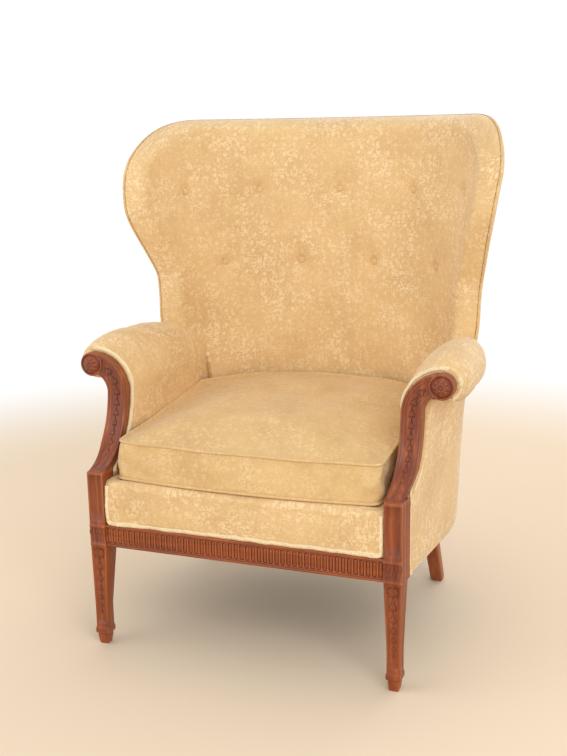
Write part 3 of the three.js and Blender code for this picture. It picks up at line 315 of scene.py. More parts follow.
def mahogany(name, along=(1, 1, 0.08), tone=0.0, shadow=0.6, cleft=0.09):
    # along squeezes the grain; tone shifts it darker; shadow and cleft set how dark and narrow the painted shade in
    # the hollows is
    look = mahoganyLook
    finish = Finish(name, {"Specular IOR Level": 0.36, "Coat Roughness": 0.18, "Coat Weight": 0.25})
    at = finish.place(along)
    figure = finish.noise(at, look["grain"] * 2.4, 4, 0.62)
    pores = finish.noise(at, 1.1, 2, 0.7)
    wood = finish.mix(figure.ramp(0.3 + tone, 0.68 + tone), look["dark"], look["middle"])
    wood = finish.mix(finish.noise(at, look["grain"], 3).ramp(0.48, 0.8) * 0.55, wood, look["light"])
    wood = finish.mix((1 - pores).ramp(0.5, 0.66) * 0.45, wood, look["dark"])
    point = finish.node("NewGeometry", {}, {})["Pointiness"]
    # painted shade: concave places, where pointiness is low, are darkened towards a near-black brown
    wood = finish.mix((0.5 - point).ramp(0.01, cleft) * shadow, wood, look["hollow"])
    wood = finish.mix((point - 0.5).ramp(0.01, 0.09) * 0.45, wood, look["rubbed"])
    rough = look["roughness"] + figure * 0.12 + pores * 0.08
    return finish.surface(color=wood, roughness=rough, normal=finish.bump(pores + figure * 0.5, 0.25, 0.35))


def plainWood(name, along):
    finish = Finish(name, {"Specular IOR Level": 0.35})
    at = finish.place(along)
    figure = finish.noise(at, 9, 4, 0.6)
    wood = finish.mix(figure.ramp(0.3, 0.7), shade(188, 146, 98), shade(214, 178, 130))
    return finish.surface(color=wood, roughness=0.55 + figure * 0.15, normal=finish.bump(figure, 0.2, 0.3))


def plainCloth(name, dark, light):
    finish = Finish(name, {"Specular IOR Level": 0.15})
    soil = finish.noise(finish.place(), 5, 3)
    return finish.surface(color=finish.mix(soil.ramp(0.35, 0.65), dark, light), roughness=0.85 + soil * 0.1)


def braidFinish():
    finish = Finish("cream_braid", {"Specular IOR Level": 0.25, "Sheen Weight": 0.15})
    at = finish.place()
    ply = finish.node("TexWave", {"bands_direction": "DIAGONAL"}, {"Vector": at, "Scale": 0.22})["Fac"]
    soil = finish.noise(at, 26, 3)
    thread = finish.mix(ply, shade(236, 206, 154), shade(254, 238, 204))
    thread = finish.mix(soil.ramp(0.45, 0.8) * 0.35, thread, shade(226, 190, 134))
    return finish.surface(color=thread, roughness=0.7 + ply * 0.15, normal=finish.bump(ply, 0.5, 0.4))


def weaveFinish(name, dark, light, pitch):
    finish = Finish(name, {"Specular IOR Level": 0.2})
    at = finish.place()
    parts = finish.node("SeparateXYZ", {}, {0: at})
    warp = (parts["X"] * (math.pi / pitch)).sin()
    weft = (parts["Y"] * (math.pi / pitch)).sin()
    check = abs(warp * weft)
    slub = finish.noise(at, pitch * 5, 3)
    cloth = finish.mix(check * 0.6 + slub * 0.4, dark, light)
    return finish.surface(color=cloth, roughness=0.8 + slub * 0.15, normal=finish.bump(check, 0.6, 0.5))


def wireFinish():
    finish = Finish("coppered_wire", {"Metallic": 0.9, "Specular IOR Level": 0.5})
    at = finish.place()
    tarnish = finish.noise(at, 14, 3)
    metal = finish.mix(tarnish.ramp(0.4, 0.7), shade(150, 120, 96), shade(96, 84, 76))
    return finish.surface(color=metal, roughness=0.35 + tarnish * 0.3)


rubbedCloth = {"ground": shade(217, 180, 123), "shadow": shade(200, 161, 106)}
buttonCloth = {"ground": shade(224, 187, 133), "shadow": shade(202, 162, 108)}
finishes = {
    "damask": damask("gold_damask"),
    "worn": damask("worn_damask", 0.45, {**damaskLook, **rubbedCloth}),
    "button": damask("button_damask", 0.3, {**damaskLook, **buttonCloth}),
    # the seam is real, but its dark brown is painted shade in the seam's crease
    "seam": plainCloth("seam_thread_shade", shade(150, 112, 66), shade(196, 156, 104)),
    "upright": mahogany("mahogany_upright"),
    # the rail's flutes get darker, narrower painted shade
    "across": mahogany("mahogany_across", (0.08, 1, 1), shadow=0.85, cleft=0.03),
    # the stumps' darker tone is partly the wood's own browner colour and partly painted shade, with stronger
    # painted shade in their carving
    "arms": mahogany("mahogany_arms", (1, 0.3, 0.1), tone=0.13, shadow=0.7, cleft=0.06),
    "raked": mahogany("mahogany_raked", tone=0.12),
    "braid": braidFinish(),
    "beech": plainWood("beech", (0.3, 0.3, 0.3)),
    "jute": weaveFinish("jute_cloth", shade(128, 102, 66), shade(178, 150, 104), 2.2),
    "lining": weaveFinish("black_lining", shade(24, 22, 21), shade(52, 48, 45), 1.0),
    "wire": wireFinish(),
}
print("finishes made")


# The barrel surface that the back, the wings and the sides are laid on. q is 0 at the middle of the
# back, 1 where the side turns straight and 2 at the front post; depth runs into the back.
barrel = {
    "back": 655, "backTop": 731, "sideBow": 25, "wingFlare": 80, "sideStart": 290, "sideEnd": 330,
    "startRows": [(0, 0), (0.15, 0.2), (0.35, 0.75), (0.5, 1), (1, 1)],
    "flareRows": [
        (0, 0), (0.099, 0.025), (0.2, 0.06), (0.313, 0.125), (0.46, 0.45), (0.551, 0.525), (0.622, 0.5875),
        (0.693, 0.675), (0.765, 0.8125), (0.836, 0.9375), (0.872, 1), (1, 1),
    ],
    "squareRows": [(0, 2.3), (0.3, 2.22), (0.61, 2.1), (0.81, 2), (1, 2)],
}
wing = {
    "foot": 600, "footRun": 95, "tuck": 482, "corner": 972, "nearest": 366, "reach": 76, "seamSide": 512,
    "rows": [
        (0, 0.934), (0.134, 1), (0.215, 1.013), (0.296, 1), (0.376, 0.816), (0.457, 0.579), (0.538, 0.329),
        (0.618, 0.118), (0.699, 0), (0.78, 0.04), (0.86, 0.158), (0.941, 0.368), (1, 0.553),
    ],
    "crownDrop": 86, "crownLength": 209, "crownPower": 2.6,
}
flareAt, startAt, squareAt = (curveThrough(barrel[k]) for k in ("flareRows", "startRows", "squareRows"))
wingDepth = curveThrough(wing["rows"])


def planAt(z):
    rise = np.clip((z - chair["railBottom"]) / (chair["height"] - chair["railBottom"]), 0, 1)
    half = postOuter + barrel["sideBow"] + barrel["wingFlare"] * flareAt(rise)
    side = lerp(barrel["sideStart"], barrel["sideEnd"], startAt(rise))
    return half, side, lerp(barrel["back"], barrel["backTop"], rise), squareAt(rise)


def surfaceAt(q, z):
    half, side, back, power = planAt(z)
    a = np.abs(q)
    turn = np.minimum(a, 1) * math.pi / 2
    x = half * np.sin(turn) ** (2 / power)
    y = side + (back - side) * np.maximum(np.cos(turn), 0) ** (2 / power)
    straight = side * (2 - a)
    x = np.where(a > 1, lerp(postOuter, half, straight / side), x)
    return np.sign(q) * x, np.where(a > 1, straight, y)


def layerAt(q, z, depth):
    q, z = np.broadcast_arrays(np.asarray(q, float), np.asarray(z, float))
    step = 0.004
    x, y = surfaceAt(q, z)
    x0, y0 = surfaceAt(q - step, z)
    x1, y1 = surfaceAt(q + step, z)
    length = np.hypot(x1 - x0, y1 - y0)
    return np.stack([x + (y1 - y0) / length * depth, y - (x1 - x0) / length * depth, z], -1)


def shareAtDepth(y, z):
    _, side, back, power = planAt(z)
    t = np.clip((y - side) / (back - side), 0, 1)
    return np.where(y <= side, 2 - y / side, np.arccos(t ** (power / 2)) / (math.pi / 2))


def rimDepth(z):
    share = (np.minimum(z, wing["corner"]) - wing["foot"]) / (wing["corner"] - wing["foot"])
    edge = wing["nearest"] + wing["reach"] * wingDepth(np.maximum(share, 0))
    return edge + (wing["seamSide"] - edge) * smooth((wing["foot"] - z) / wing["footRun"])


arcShares = np.linspace(0, 2, 129)
arcLevels = np.linspace(chair["railBottom"], chair["height"], 170)
arcX, arcY = surfaceAt(arcShares[None, :], arcLevels[:, None])
arcRows = np.hypot(np.diff(arcX), np.diff(arcY)).cumsum(1)
arcRows = np.concatenate([np.zeros((len(arcLevels), 1)), arcRows], 1)
arcEnds = arcRows[:, -1]
arcPlaces = np.linspace(0, 1, 257)
shareRows = np.stack([np.interp(arcPlaces * row[-1], row, arcShares) for row in arcRows])


def tableValue(table, u, v):
    # value between the cells of a table, at row u and column v
    u, v = np.clip(u, 0, table.shape[0] - 1.001), np.clip(v, 0, table.shape[1] - 1.001)
    i, j = u.astype(int), v.astype(int)
    low, high = lerp(table[i, j], table[i, j + 1], v - j), lerp(table[i + 1, j], table[i + 1, j + 1], v - j)
    return lerp(low, high, u - i)


def levelPlace(z):
    return (z - arcLevels[0]) / (arcLevels[1] - arcLevels[0])


def arcOf(q, z):
    q, z = np.broadcast_arrays(np.asarray(q, float), np.asarray(z, float))
    return np.sign(q) * tableValue(arcRows, levelPlace(z), np.abs(q) / (arcShares[1] - arcShares[0]))


def shareOfArc(arc, z):
    arc, z = np.broadcast_arrays(np.asarray(arc, float), np.asarray(z, float))
    place = np.abs(arc) / np.interp(z, arcLevels, arcEnds) * (len(arcPlaces) - 1)
    return np.sign(arc) * tableValue(shareRows, levelPlace(z), place)


def topAt(fromCorner):
    share = np.clip(fromCorner / wing["crownLength"], 0, 1)
    return chair["height"] - wing["crownDrop"] * (1 - share) ** wing["crownPower"]


rimArcAtCorner = float(arcOf(shareAtDepth(rimDepth(wing["corner"]), wing["corner"]), wing["corner"]))


# Meshes from grids of points in millimetres, with the fabric's width and length beside them
def toRoom(points):
    return (np.asarray(points, float) + (0, frontFace, 0)) * millimetre


def fromRoom(points):
    return points / millimetre - (0, frontFace, 0)


def unit(vectors):
    return vectors / np.linalg.norm(vectors, axis=-1, keepdims=True)


def runOf(route):
    # length from the start of a route to each of its points
    return np.concatenate([[0], np.linalg.norm(np.diff(route, axis=0), axis=1).cumsum()])


def outOf(grid):
    # the way that each point of a grid faces
    normal = np.cross(np.gradient(grid, axis=1), np.gradient(grid, axis=0))
    return normal / np.maximum(np.linalg.norm(normal, axis=2, keepdims=True), 1e-6)


def linked(name, data):
    piece = bpy.data.objects.new(name, data)
    scene.collection.objects.link(piece)
    return piece


def meshFrom(name, points, faces, material, body="chair_frame", cloth=None):
    mesh = bpy.data.meshes.new(name)
    mesh.from_pydata(toRoom(points).tolist(), [], faces)
    if cloth is not None:
        layer = mesh.uv_layers.new(name="cloth")
        corners = np.empty(len(mesh.loops), int)
        mesh.loops.foreach_get("vertex_index", corners)
        layer.data.foreach_set("uv", np.asarray(cloth, float)[corners].ravel())
    mesh.validate()
    mesh.update()
    mesh.polygons.foreach_set("use_smooth", [True] * len(mesh.polygons))
    mesh.materials.append(material)
    piece = linked(name, mesh)
    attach(piece, body)
    return piece


def gridFaces(rows, columns, closed=False, start=0):
    wrap = columns if closed else columns - 1
    faces = []
    for i in range(rows - 1):
        for j in range(wrap):
            a, b = start + i * columns + j, start + i * columns + (j + 1) % columns
            faces.append((a, b, b + columns, a + columns))
    return faces


def gridRim(rows, columns):
    rim = list(range(columns)) + [i * columns + columns - 1 for i in range(1, rows)]
    rim += [(rows - 1) * columns + j for j in range(columns - 2, -1, -1)]
    return rim + [i * columns for i in range(rows - 2, 0, -1)]


def endCaps(rings, around):
    # faces that close the first and the last ring
    return [tuple(range(around - 1, -1, -1)), tuple(range((rings - 1) * around, rings * around))]


def shell(name, front, back, material, cloth):
    # a closed panel between two grids of the same size
    rows, columns = front.shape[:2]
    size = rows * columns
    faces = gridFaces(rows, columns)
    faces += [tuple(size + k for k in reversed(f)) for f in gridFaces(rows, columns)]
    rim = gridRim(rows, columns)
    for a, b in zip(rim, rim[1:] + rim[:1]):
        faces.append((b, a, a + size, b + size))
    points = np.concatenate([front.reshape(-1, 3), back.reshape(-1, 3)])
    spread = np.concatenate([cloth.reshape(-1, 2)] * 2)
    return meshFrom(name, points, faces, material, cloth=spread)


def clothSpread(grid):
    # lengths along the cloth in both directions, measured from the middle of the grid
    down = np.linalg.norm(np.diff(grid, axis=0), axis=2).cumsum(0)
    down = np.concatenate([np.zeros((1, grid.shape[1])), down])
    over = np.linalg.norm(np.diff(grid, axis=1), axis=2).cumsum(1)
    over = np.concatenate([np.zeros((grid.shape[0], 1)), over], 1)
    middle = grid.shape[1] // 2
    return np.stack([over - over[:, middle:middle + 1], down[:, middle:middle + 1] + 0 * down], -1)


def easeBoth(count, power=1.6):
    # steps from -1 to 1 that close up towards both ends
    t = np.linspace(-1, 1, count)
    return np.sign(t) * (1 - (1 - np.abs(t)) ** power)


def resampled(points, count, closed=False):
    points = np.asarray(points, float)
    if closed:
        points = np.concatenate([points, points[:1]])
    run = runOf(points)
    return readAlong(np.linspace(0, run[-1], count + closed)[:count], run, points)


def readAlong(at, run, values):
    return np.stack([np.interp(at, run, column) for column in values.T], -1)


def smoothed(rows, width=4):
    # each row averaged with its neighbours, width of them to either side
    padded = np.concatenate([rows[:1]] * width + [rows] + [rows[-1:]] * width)
    return np.stack([padded[k:k + len(rows)] for k in range(2 * width + 1)]).mean(0)


def roundRings(route, along, upright, radius, sides):
    # circles of points round each point of a route
    side = unit(np.cross(along, upright))
    up = np.cross(side, along)
    turns = [2 * math.pi * k / sides for k in range(sides)]
    return np.stack([route + side * (radius * math.cos(a)) + up * (radius * math.sin(a)) for a in turns], 1)


def tube(name, route, radius, sides, material, body="chair_frame", closed=False, start=0.0):
    # start moves the cloth's pattern along the tube
    route = np.asarray(route, float)
    n = len(route)
    along = unit(np.roll(route, -1, 0) - np.roll(route, 1, 0) if closed else np.gradient(route, axis=0))
    upright = np.tile((0.0, 0.0, 1.0), (n, 1))
    upright[np.abs(along[:, 2]) > 0.8] = (1.0, 0.0, 0.0)
    points = roundRings(route, along, upright, radius, sides).reshape(-1, 3)
    around = radius * np.array([2 * math.pi * k / sides for k in range(sides)])
    cloth = np.stack(np.broadcast_arrays(runOf(route)[:, None] + start, around), -1).reshape(-1, 2)
    faces = []
    for i in range(n if closed else n - 1):
        for k in range(sides):
            a, b = i * sides + k, i * sides + (k + 1) % sides
            c, d = ((i + 1) % n) * sides + (k + 1) % sides, ((i + 1) % n) * sides + k
            faces.append((a, b, c, d))
    if not closed:
        faces += endCaps(n, sides)
    return meshFrom(name, points, faces, material, body, cloth)


# Cloth settling: a cover's grid is let swell against its sewn edges, so that it puckers as cloth does
clothSettings = {
    "frames": 20, "quality": 4, "drag": 1.0, "pressure": 4.0, "grow": 0.022, "mass": 0.3,
    "tension": 12, "bending": 0.35, "margin": 2,
}


def settled(grid, most, step=1, closed=False, hold=None):
    # the grid after a short cloth simulation, moved by less than most; step thins it out for that,
    # and hold marks points that stay
    c = clothSettings
    coarse = grid[::step, ::step]
    rows, columns = coarse.shape[:2]
    held = np.zeros((rows, columns), bool) if hold is None else hold[::step, ::step].copy()
    held[:c["margin"]] = held[-c["margin"]:] = True
    if not closed:
        held[:, :c["margin"]] = held[:, -c["margin"]:] = True
    mesh = bpy.data.meshes.new("settling")
    mesh.from_pydata(toRoom(coarse.reshape(-1, 3)).tolist(), [], gridFaces(rows, columns, closed))
    piece = linked("settling", mesh)
    group = piece.vertex_groups.new(name="held")
    group.add(np.flatnonzero(held.ravel()).tolist(), 1.0, "REPLACE")
    cloth = piece.modifiers.new("cloth", "CLOTH")
    fabric = cloth.settings
    fabric.quality, fabric.mass, fabric.air_damping = c["quality"], c["mass"], c["drag"]
    fabric.tension_stiffness = fabric.compression_stiffness = c["tension"]
    fabric.shear_stiffness, fabric.bending_stiffness = c["tension"] / 2, c["bending"]
    fabric.use_pressure, fabric.uniform_pressure_force = True, c["pressure"]
    fabric.shrink_min = -c["grow"]
    fabric.vertex_group_mass = "held"
    fabric.effector_weights.gravity = 0
    cloth.point_cache.frame_start, cloth.point_cache.frame_end = 1, c["frames"]
    for frameNumber in range(1, c["frames"] + 1):
        scene.frame_set(frameNumber)
    after = piece.evaluated_get(bpy.context.evaluated_depsgraph_get()).data
    places = np.empty(rows * columns * 3)
    after.vertices.foreach_get("co", places)
    scene.frame_set(1)
    bpy.data.objects.remove(piece)
    moved = fromRoom(places.reshape(rows, columns, 3)) - coarse
    far = np.linalg.norm(moved, axis=2, keepdims=True)
    moved = np.nan_to_num(moved / (1 + far / most))
    u, v = np.meshgrid(np.arange(grid.shape[0]) / step, np.arange(grid.shape[1]) / step, indexing="ij")
    return grid + np.stack([tableValue(moved[:, :, k], u, v) for k in range(3)], -1)


# Inside of the back and wings: one padded cover with a rolled front edge, drawn in by nine buttons
backPad = {
    "bottom": 353.3, "center": 72, "wing": 50, "roll": 34, "rollPower": 2.1, "seam": 1.2, "padStart": 30.5,
    "backRise": 40, "dimple": 6, "dimpleRadius": 22, "pinch": 6, "pinchRadius": 10.5,
    "folds": 1.1, "foldStart": 14, "foldReach": 19, "puckers": 1.3, "puckersBelow": 560,
    "give": 6, "columns": 341, "lowRows": 170, "crownRows": 30, "seamDepth": 7, "stitch": 0.35,
    "lumps": (2.2, 0.5), "tuckSink": 2.4, "tuckBulge": 1.2,
    "tucks": [(1, 678, 66, 0.10), (1, 866, 52, -0.35), (-1, 702, 50, 0.16), (-1, 842, 46, -0.2)],
}
button = {
    "upper": (896, (-0.667, -0.336, 0, 0.336, 0.667)), "lower": (730, (-0.512, -0.156, 0.156, 0.512)),
    "radius": 7.4, "height": 4.2, "proud": 0.6, "rings": 9, "around": 28, "stretch": 1.2,
}
buttonPlaces = [(q, row[0]) for row in (button["upper"], button["lower"]) for q in row[1]]


def fullness(distance):
    t = np.clip(distance / backPad["roll"], 0, 1)
    power = backPad["rollPower"]
    return (1 - (1 - t) ** power) ** (1 / power)


def padThickness(q):
    return lerp(backPad["center"], backPad["wing"], smooth(np.abs(q)))


def buttonPull(arc, z):
    # how far the buttons draw the cover in, with small folds that run out from each
    s = backPad
    sink = np.zeros_like(arc)
    for k, (bq, bz) in enumerate(buttonPlaces):
        across, up = arc - float(arcOf(bq, bz)), z - bz
        d = np.hypot(across, up)
        angle = np.arctan2(up, across)
        sink += s["dimple"] * np.exp(-((d / s["dimpleRadius"]) ** 2))
        sink += s["pinch"] * np.exp(-((d / s["pinchRadius"]) ** 2))
        folds = np.cos(5 * angle + 1.3 * k) + 0.6 * np.cos(8 * angle + 2.1 * k)
        sink += s["folds"] * folds * (d / s["foldStart"]) * np.exp(-((d / s["foldReach"]) ** 2))
    return sink


def unevenness(u, v, seed, size):
    # soft, slightly lumpy stuffing
    luck = np.random.default_rng(seed)
    out = np.zeros(np.broadcast(u, v).shape)
    waves, fullTurn = 9, 6.28
    for _ in range(waves):
        turn, phase, pitch = luck.uniform(0, math.pi), luck.uniform(0, fullTurn), luck.uniform(0.6, 1.8) * size
        out += np.sin((u * math.cos(turn) + v * math.sin(turn)) / pitch * fullTurn + phase)
    return out / waves


def backFolds(arc, z, side):
    # shallow puckers low down, and a few deeper tucks that run in from the wings' edges
    s = backPad
    sink = s["puckers"] * np.sin(arc / 21 + 0.6 * np.sin(z / 60)) * smooth((s["puckersBelow"] - z) / 130)
    for sideOf, level, run, slope in s["tucks"]:
        line = z - level - slope * (side - 20)
        window = smooth(side / 9) * smooth((run - side) / 22) * (arc * sideOf > 0)
        crease, bulge = np.exp(-((line / 3.2) ** 2)), np.exp(-(((line - 8) / 6) ** 2))
        sink += s["tuckSink"] * crease * window - s["tuckBulge"] * bulge * window
    return sink


def makeInsideBack():
    s = backPad
    t = easeBoth(s["columns"], 1.3)
    low = np.linspace(s["bottom"], wing["corner"], s["lowRows"])
    crown = 1 - (1 - np.linspace(0, 1, s["crownRows"] + 1)[1:]) ** 1.7
    columns = np.tile(t, (len(low) + len(crown), 1))
    zq = np.concatenate([low, np.full(len(crown), wing["corner"])])[:, None] + 0 * columns
    rimQ = shareAtDepth(rimDepth(zq), zq)
    rimArc = arcOf(rimQ[:, :1], zq[:, :1])
    arc = columns * rimArc
    q = shareOfArc(arc, zq)
    top = topAt((1 - np.abs(t)) * rimArcAtCorner)
    z = zq.copy()
    z[len(low):] = lerp(wing["corner"], top[None, :], crown[:, None])
    side = rimArc - np.abs(arc)
    over = np.maximum(top[None, :] - z, 0)
    free = smooth((z - wing["foot"] + wing["footRun"]) / 45)
    loose = lerp(1, fullness(side), free)
    full = loose * fullness(over)
    thick = padThickness(q)
    risen = lerp(1, smooth(side / s["backRise"]), free) * smooth(over / s["backRise"])
    behind = lerp(s["seam"], s["padStart"], risen)
    lumps = unevenness(arc, z, 5, 150) * s["lumps"][0] + unevenness(arc, z, 8, 60) * s["lumps"][1]
    pull = buttonPull(arc, z)
    depth = behind + (thick - behind) * full
    depth -= (pull - lumps + backFolds(arc, z, side)) * full
    depth = np.maximum(depth, behind + 0.4)
    front = layerAt(q, z, depth)
    still = (pull > s["dimple"] * 0.9) | (full < 0.55)
    front = settled(front, s["give"], 2, hold=still)
    piece = shell("back_cover", front, layerAt(q, z, behind), finishes["damask"], clothSpread(front))
    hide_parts("inside_back")
    makeEdgeSeam(front, depth, zq)


def makeEdgeSeam(front, depth, level):
    # the stitched seam that joins the inside cover to the outside ones, up the wings and over the top, drawn as a
    # thin dark tube whose colour is painted shade in the seam
    want = backPad["seamDepth"]

    def crossing(points, depths):
        k = int(np.argmax(depths > want))
        t = (want - depths[k - 1]) / (depths[k] - depths[k - 1]) if k else 0
        return lerp(points[k - 1], points[k], t)

    rows = [i for i in range(len(front)) if wing["foot"] - 40 < level[i, 0] < wing["corner"] - 30]
    left = [crossing(front[i], depth[i]) for i in rows]
    right = [crossing(front[i, ::-1], depth[i, ::-1]) for i in rows]
    top = [crossing(front[::-1, j], depth[::-1, j]) for j in range(front.shape[1])]
    top = [p for p in top if abs(p[0]) < abs(left[-1][0]) + 20 and p[2] > left[-1][2] + 6]
    count = 900
    route = smoothed(resampled(np.array(left + top + right[::-1]), count), 3)
    thread = route + backPad["stitch"] * np.sin(np.arange(count) * 1.9)[:, None] * (0, 0, 1)
    piece = tube("edge_seam", thread, 1.0, 6, finishes["seam"])


def makeButtons():
    s = button
    rings, around = s["rings"], s["around"]
    for number, (q, z) in enumerate(buttonPlaces):
        arc = arcOf(q, z)
        pulled = buttonPull(np.array([arc]), np.array([z]))[0]
        depth = float(padThickness(q) - pulled) + s["proud"] + 1
        here = layerAt(q, z, depth)
        outward = layerAt(q, z, depth + 1) - here
        side = unit(np.cross(outward, (0, 0, 1)))
        up = np.cross(side, outward)
        points, cloth = [], []
        for i in range(rings):
            turn = i / (rings - 1) * math.pi * 0.62
            for j in range(around):
                a = 2 * math.pi * j / around
                r = s["radius"] * math.sin(turn) * (1 + 0.012 * math.cos(9 * a + number))
                h = s["height"] * (math.cos(turn) + 0.2)
                x, y = r * math.cos(a), r * math.sin(a)
                points.append(here + side * x + up * y + outward * h)
                cloth.append((arc + x * s["stretch"] + 31 * number, z + y * s["stretch"]))
        faces = [tuple(reversed(f)) for f in gridFaces(rings, around, closed=True)]
        faces.append(endCaps(rings, around)[1])
        piece = meshFrom(f"button_cover_{number + 1}", points, faces, finishes["button"], cloth=cloth)
        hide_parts(f"back_button_{number + 1}")


makeInsideBack()
makeButtons()
print("inside back covered and buttoned")


# Outside covers: cloth drawn tight over the frame, turned in along every seam
outsideCover = {
    "fold": 3.0, "foldWidth": 2.4, "swell": 1.6, "swellWidth": 28, "thick": 1.2, "uneven": 0.9,
    "backHalf": 0.5, "wingBottom": 490.3, "crownRows": 14,
}


def turnedIn(distance):
    s = outsideCover
    swell = s["swell"] * (1 - np.exp(-distance / s["swellWidth"]))
    return s["fold"] * np.exp(-distance / s["foldWidth"]) - swell


def outsidePanel(name, node, fromQ, toQ, bottom, columns, rows, seed):
    # fromQ and toQ give the panel's upright edges at a height
    c, corner = outsideCover, wing["corner"]
    t = (easeBoth(columns, 1.25) + 1) / 2
    levels = lerp(bottom, corner, np.linspace(0, 1, rows))
    crown = 1 - (1 - np.linspace(0, 1, c["crownRows"] + 1)[1:]) ** 1.8
    zq = np.concatenate([levels, np.full(len(crown), corner)])[:, None] + np.zeros(columns)
    start, end = fromQ(zq), toQ(zq)
    q = lerp(start, end, t[None, :])
    cornerQ = lerp(fromQ(corner), toQ(corner), t)
    top = topAt(rimArcAtCorner - np.abs(arcOf(cornerQ, corner)))
    z = zq.copy()
    z[rows:] = lerp(corner, top[None, :], crown[:, None])
    arc = arcOf(q, zq)
    inwards = np.minimum(np.abs(arc - arc[:, :1]), np.abs(arc[:, -1:] - arc))
    inwards = np.minimum(inwards, np.minimum(top[None, :] - z, z - bottom))
    depth = turnedIn(inwards) + unevenness(arc, z, seed, 120) * c["uneven"]
    front, back = layerAt(q, z, depth), layerAt(q, z, depth + c["thick"])
    if float(np.mean(end - start)) > 0:
        front, back, arc, z = front[:, ::-1], back[:, ::-1], arc[:, ::-1], z[:, ::-1]
    piece = shell(name, front, back, finishes["damask"], np.stack([arc + 700, z], -1))
    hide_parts(node)


def fixedShare(value):
    return lambda z: np.zeros_like(np.asarray(z, float)) + value


def wingEdge(sign):
    # the wing's front seam, and below its foot the line where the cover goes in behind the arm
    return lambda z: sign * shareAtDepth(np.minimum(rimDepth(z), wing["tuck"]), z)


backEdge, wingBottom = outsideCover["backHalf"], outsideCover["wingBottom"]
edges = fixedShare(-backEdge), fixedShare(backEdge)
outsidePanel("back_panel", "outside_back", *edges, chair["railBottom"], 101, 90, 3)
for side, sign in (("left", -1), ("right", 1)):
    edges = fixedShare(sign * backEdge), wingEdge(sign)
    outsidePanel(f"wing_panel_{side}", f"outside_wing_{side}", *edges, wingBottom, 71, 74, 11 + sign)
print("outside covers hung")


# Arms: padding that rolls over the arm rail, fuller behind the stump and tucked in under the roll
stump = {
    "inner": 291, "outer": 333, "neck": 34, "neckInset": 1, "flareRise": 40, "bandRise": 60,
    "shoulder": 511, "shoulderRadius": 80, "scrollX": 368, "scrollRadius": 25,
    "frontY": 112, "backY": 134,
    "frontRows": ((0, 0.536, 0.9375, 1), (0, 0.094, 0.417, 1)),
    "backRows": ((0, 0.443, 0.932, 1), (0, 0.115, 0.453, 1)),
}
stump["shoulderX"] = stump["inner"] + stump["shoulderRadius"]
stump["hook"] = stump["shoulderRadius"] - (stump["outer"] - stump["inner"])
stump["scrollZ"] = stump["shoulder"] + stump["shoulderRadius"] - stump["scrollRadius"]
armPad = {
    "inner": 8, "top": 26, "outer": 17, "end": 480, "flatDrift": 9, "scrollDrift": 33, "endRadius": 13,
    "tuckFront": 536, "tuckBack": 490, "tuckRun": 196, "bottom": 353.3, "reach": 34,
    "fullRows": [(0, 0.42), (0.05, 0.62), (0.12, 0.83), (0.23, 1), (0.57, 1), (0.87, 0.45), (1, 0.3)],
    "around": 96, "along": 86, "cloth": 2.4, "lip": 7, "lead": 18, "seam": 446,
    "seamSlant": 26, "give": 5, "endTurn": (-72, -44), "lumps": 2.0, "pleats": 1.3,
    "seamSink": 2.2, "seamDip": 1.6, "seamBulge": 1.2,
}
armFullness = curveThrough(armPad["fullRows"])


def bezier(shares, start, end, t):
    (y0, y1, y2, y3), (z0, z1, z2, z3) = shares
    k = [(1 - t) ** 3, 3 * t * (1 - t) ** 2, 3 * t * t * (1 - t), t ** 3]
    y = sum(lerp(start, end, v) * w for v, w in zip((y0, y1, y2, y3), k))
    z = sum(lerp(chair["postTop"], stump["shoulder"], v) * w for v, w in zip((z0, z1, z2, z3), k))
    return y, z


curveSteps = np.linspace(0, 1, 60)
frontLineY, frontLineZ = bezier(stump["frontRows"], 0, stump["frontY"], curveSteps)
backLineY, backLineZ = bezier(stump["backRows"], chair["postDepth"], stump["backY"], curveSteps)


def stumpFront(z):
    return np.interp(z, frontLineZ, frontLineY)


def stumpBack(z):
    return np.interp(z, backLineZ, backLineY)


def stumpOuter(z):
    s = stump
    levels = [chair["postTop"] + rise for rise in (0, s["flareRise"], s["bandRise"])]
    return np.interp(z, levels, [postInner - s["neckInset"] + s["neck"], s["outer"] - 1, s["outer"]])


def arcPoints(x, z, radius, start, end, steps):
    t = np.linspace(0, 1, steps)
    a = np.radians(lerp(start, end, t))
    r = radius[0] + (radius[1] - radius[0]) * t if isinstance(radius, tuple) else radius
    return np.stack([x + r * np.cos(a), z + r * np.sin(a)], -1)


def tuckLevel(y):
    return lerp(armPad["tuckFront"], armPad["tuckBack"], smooth((y - stump["backY"]) / armPad["tuckRun"]))


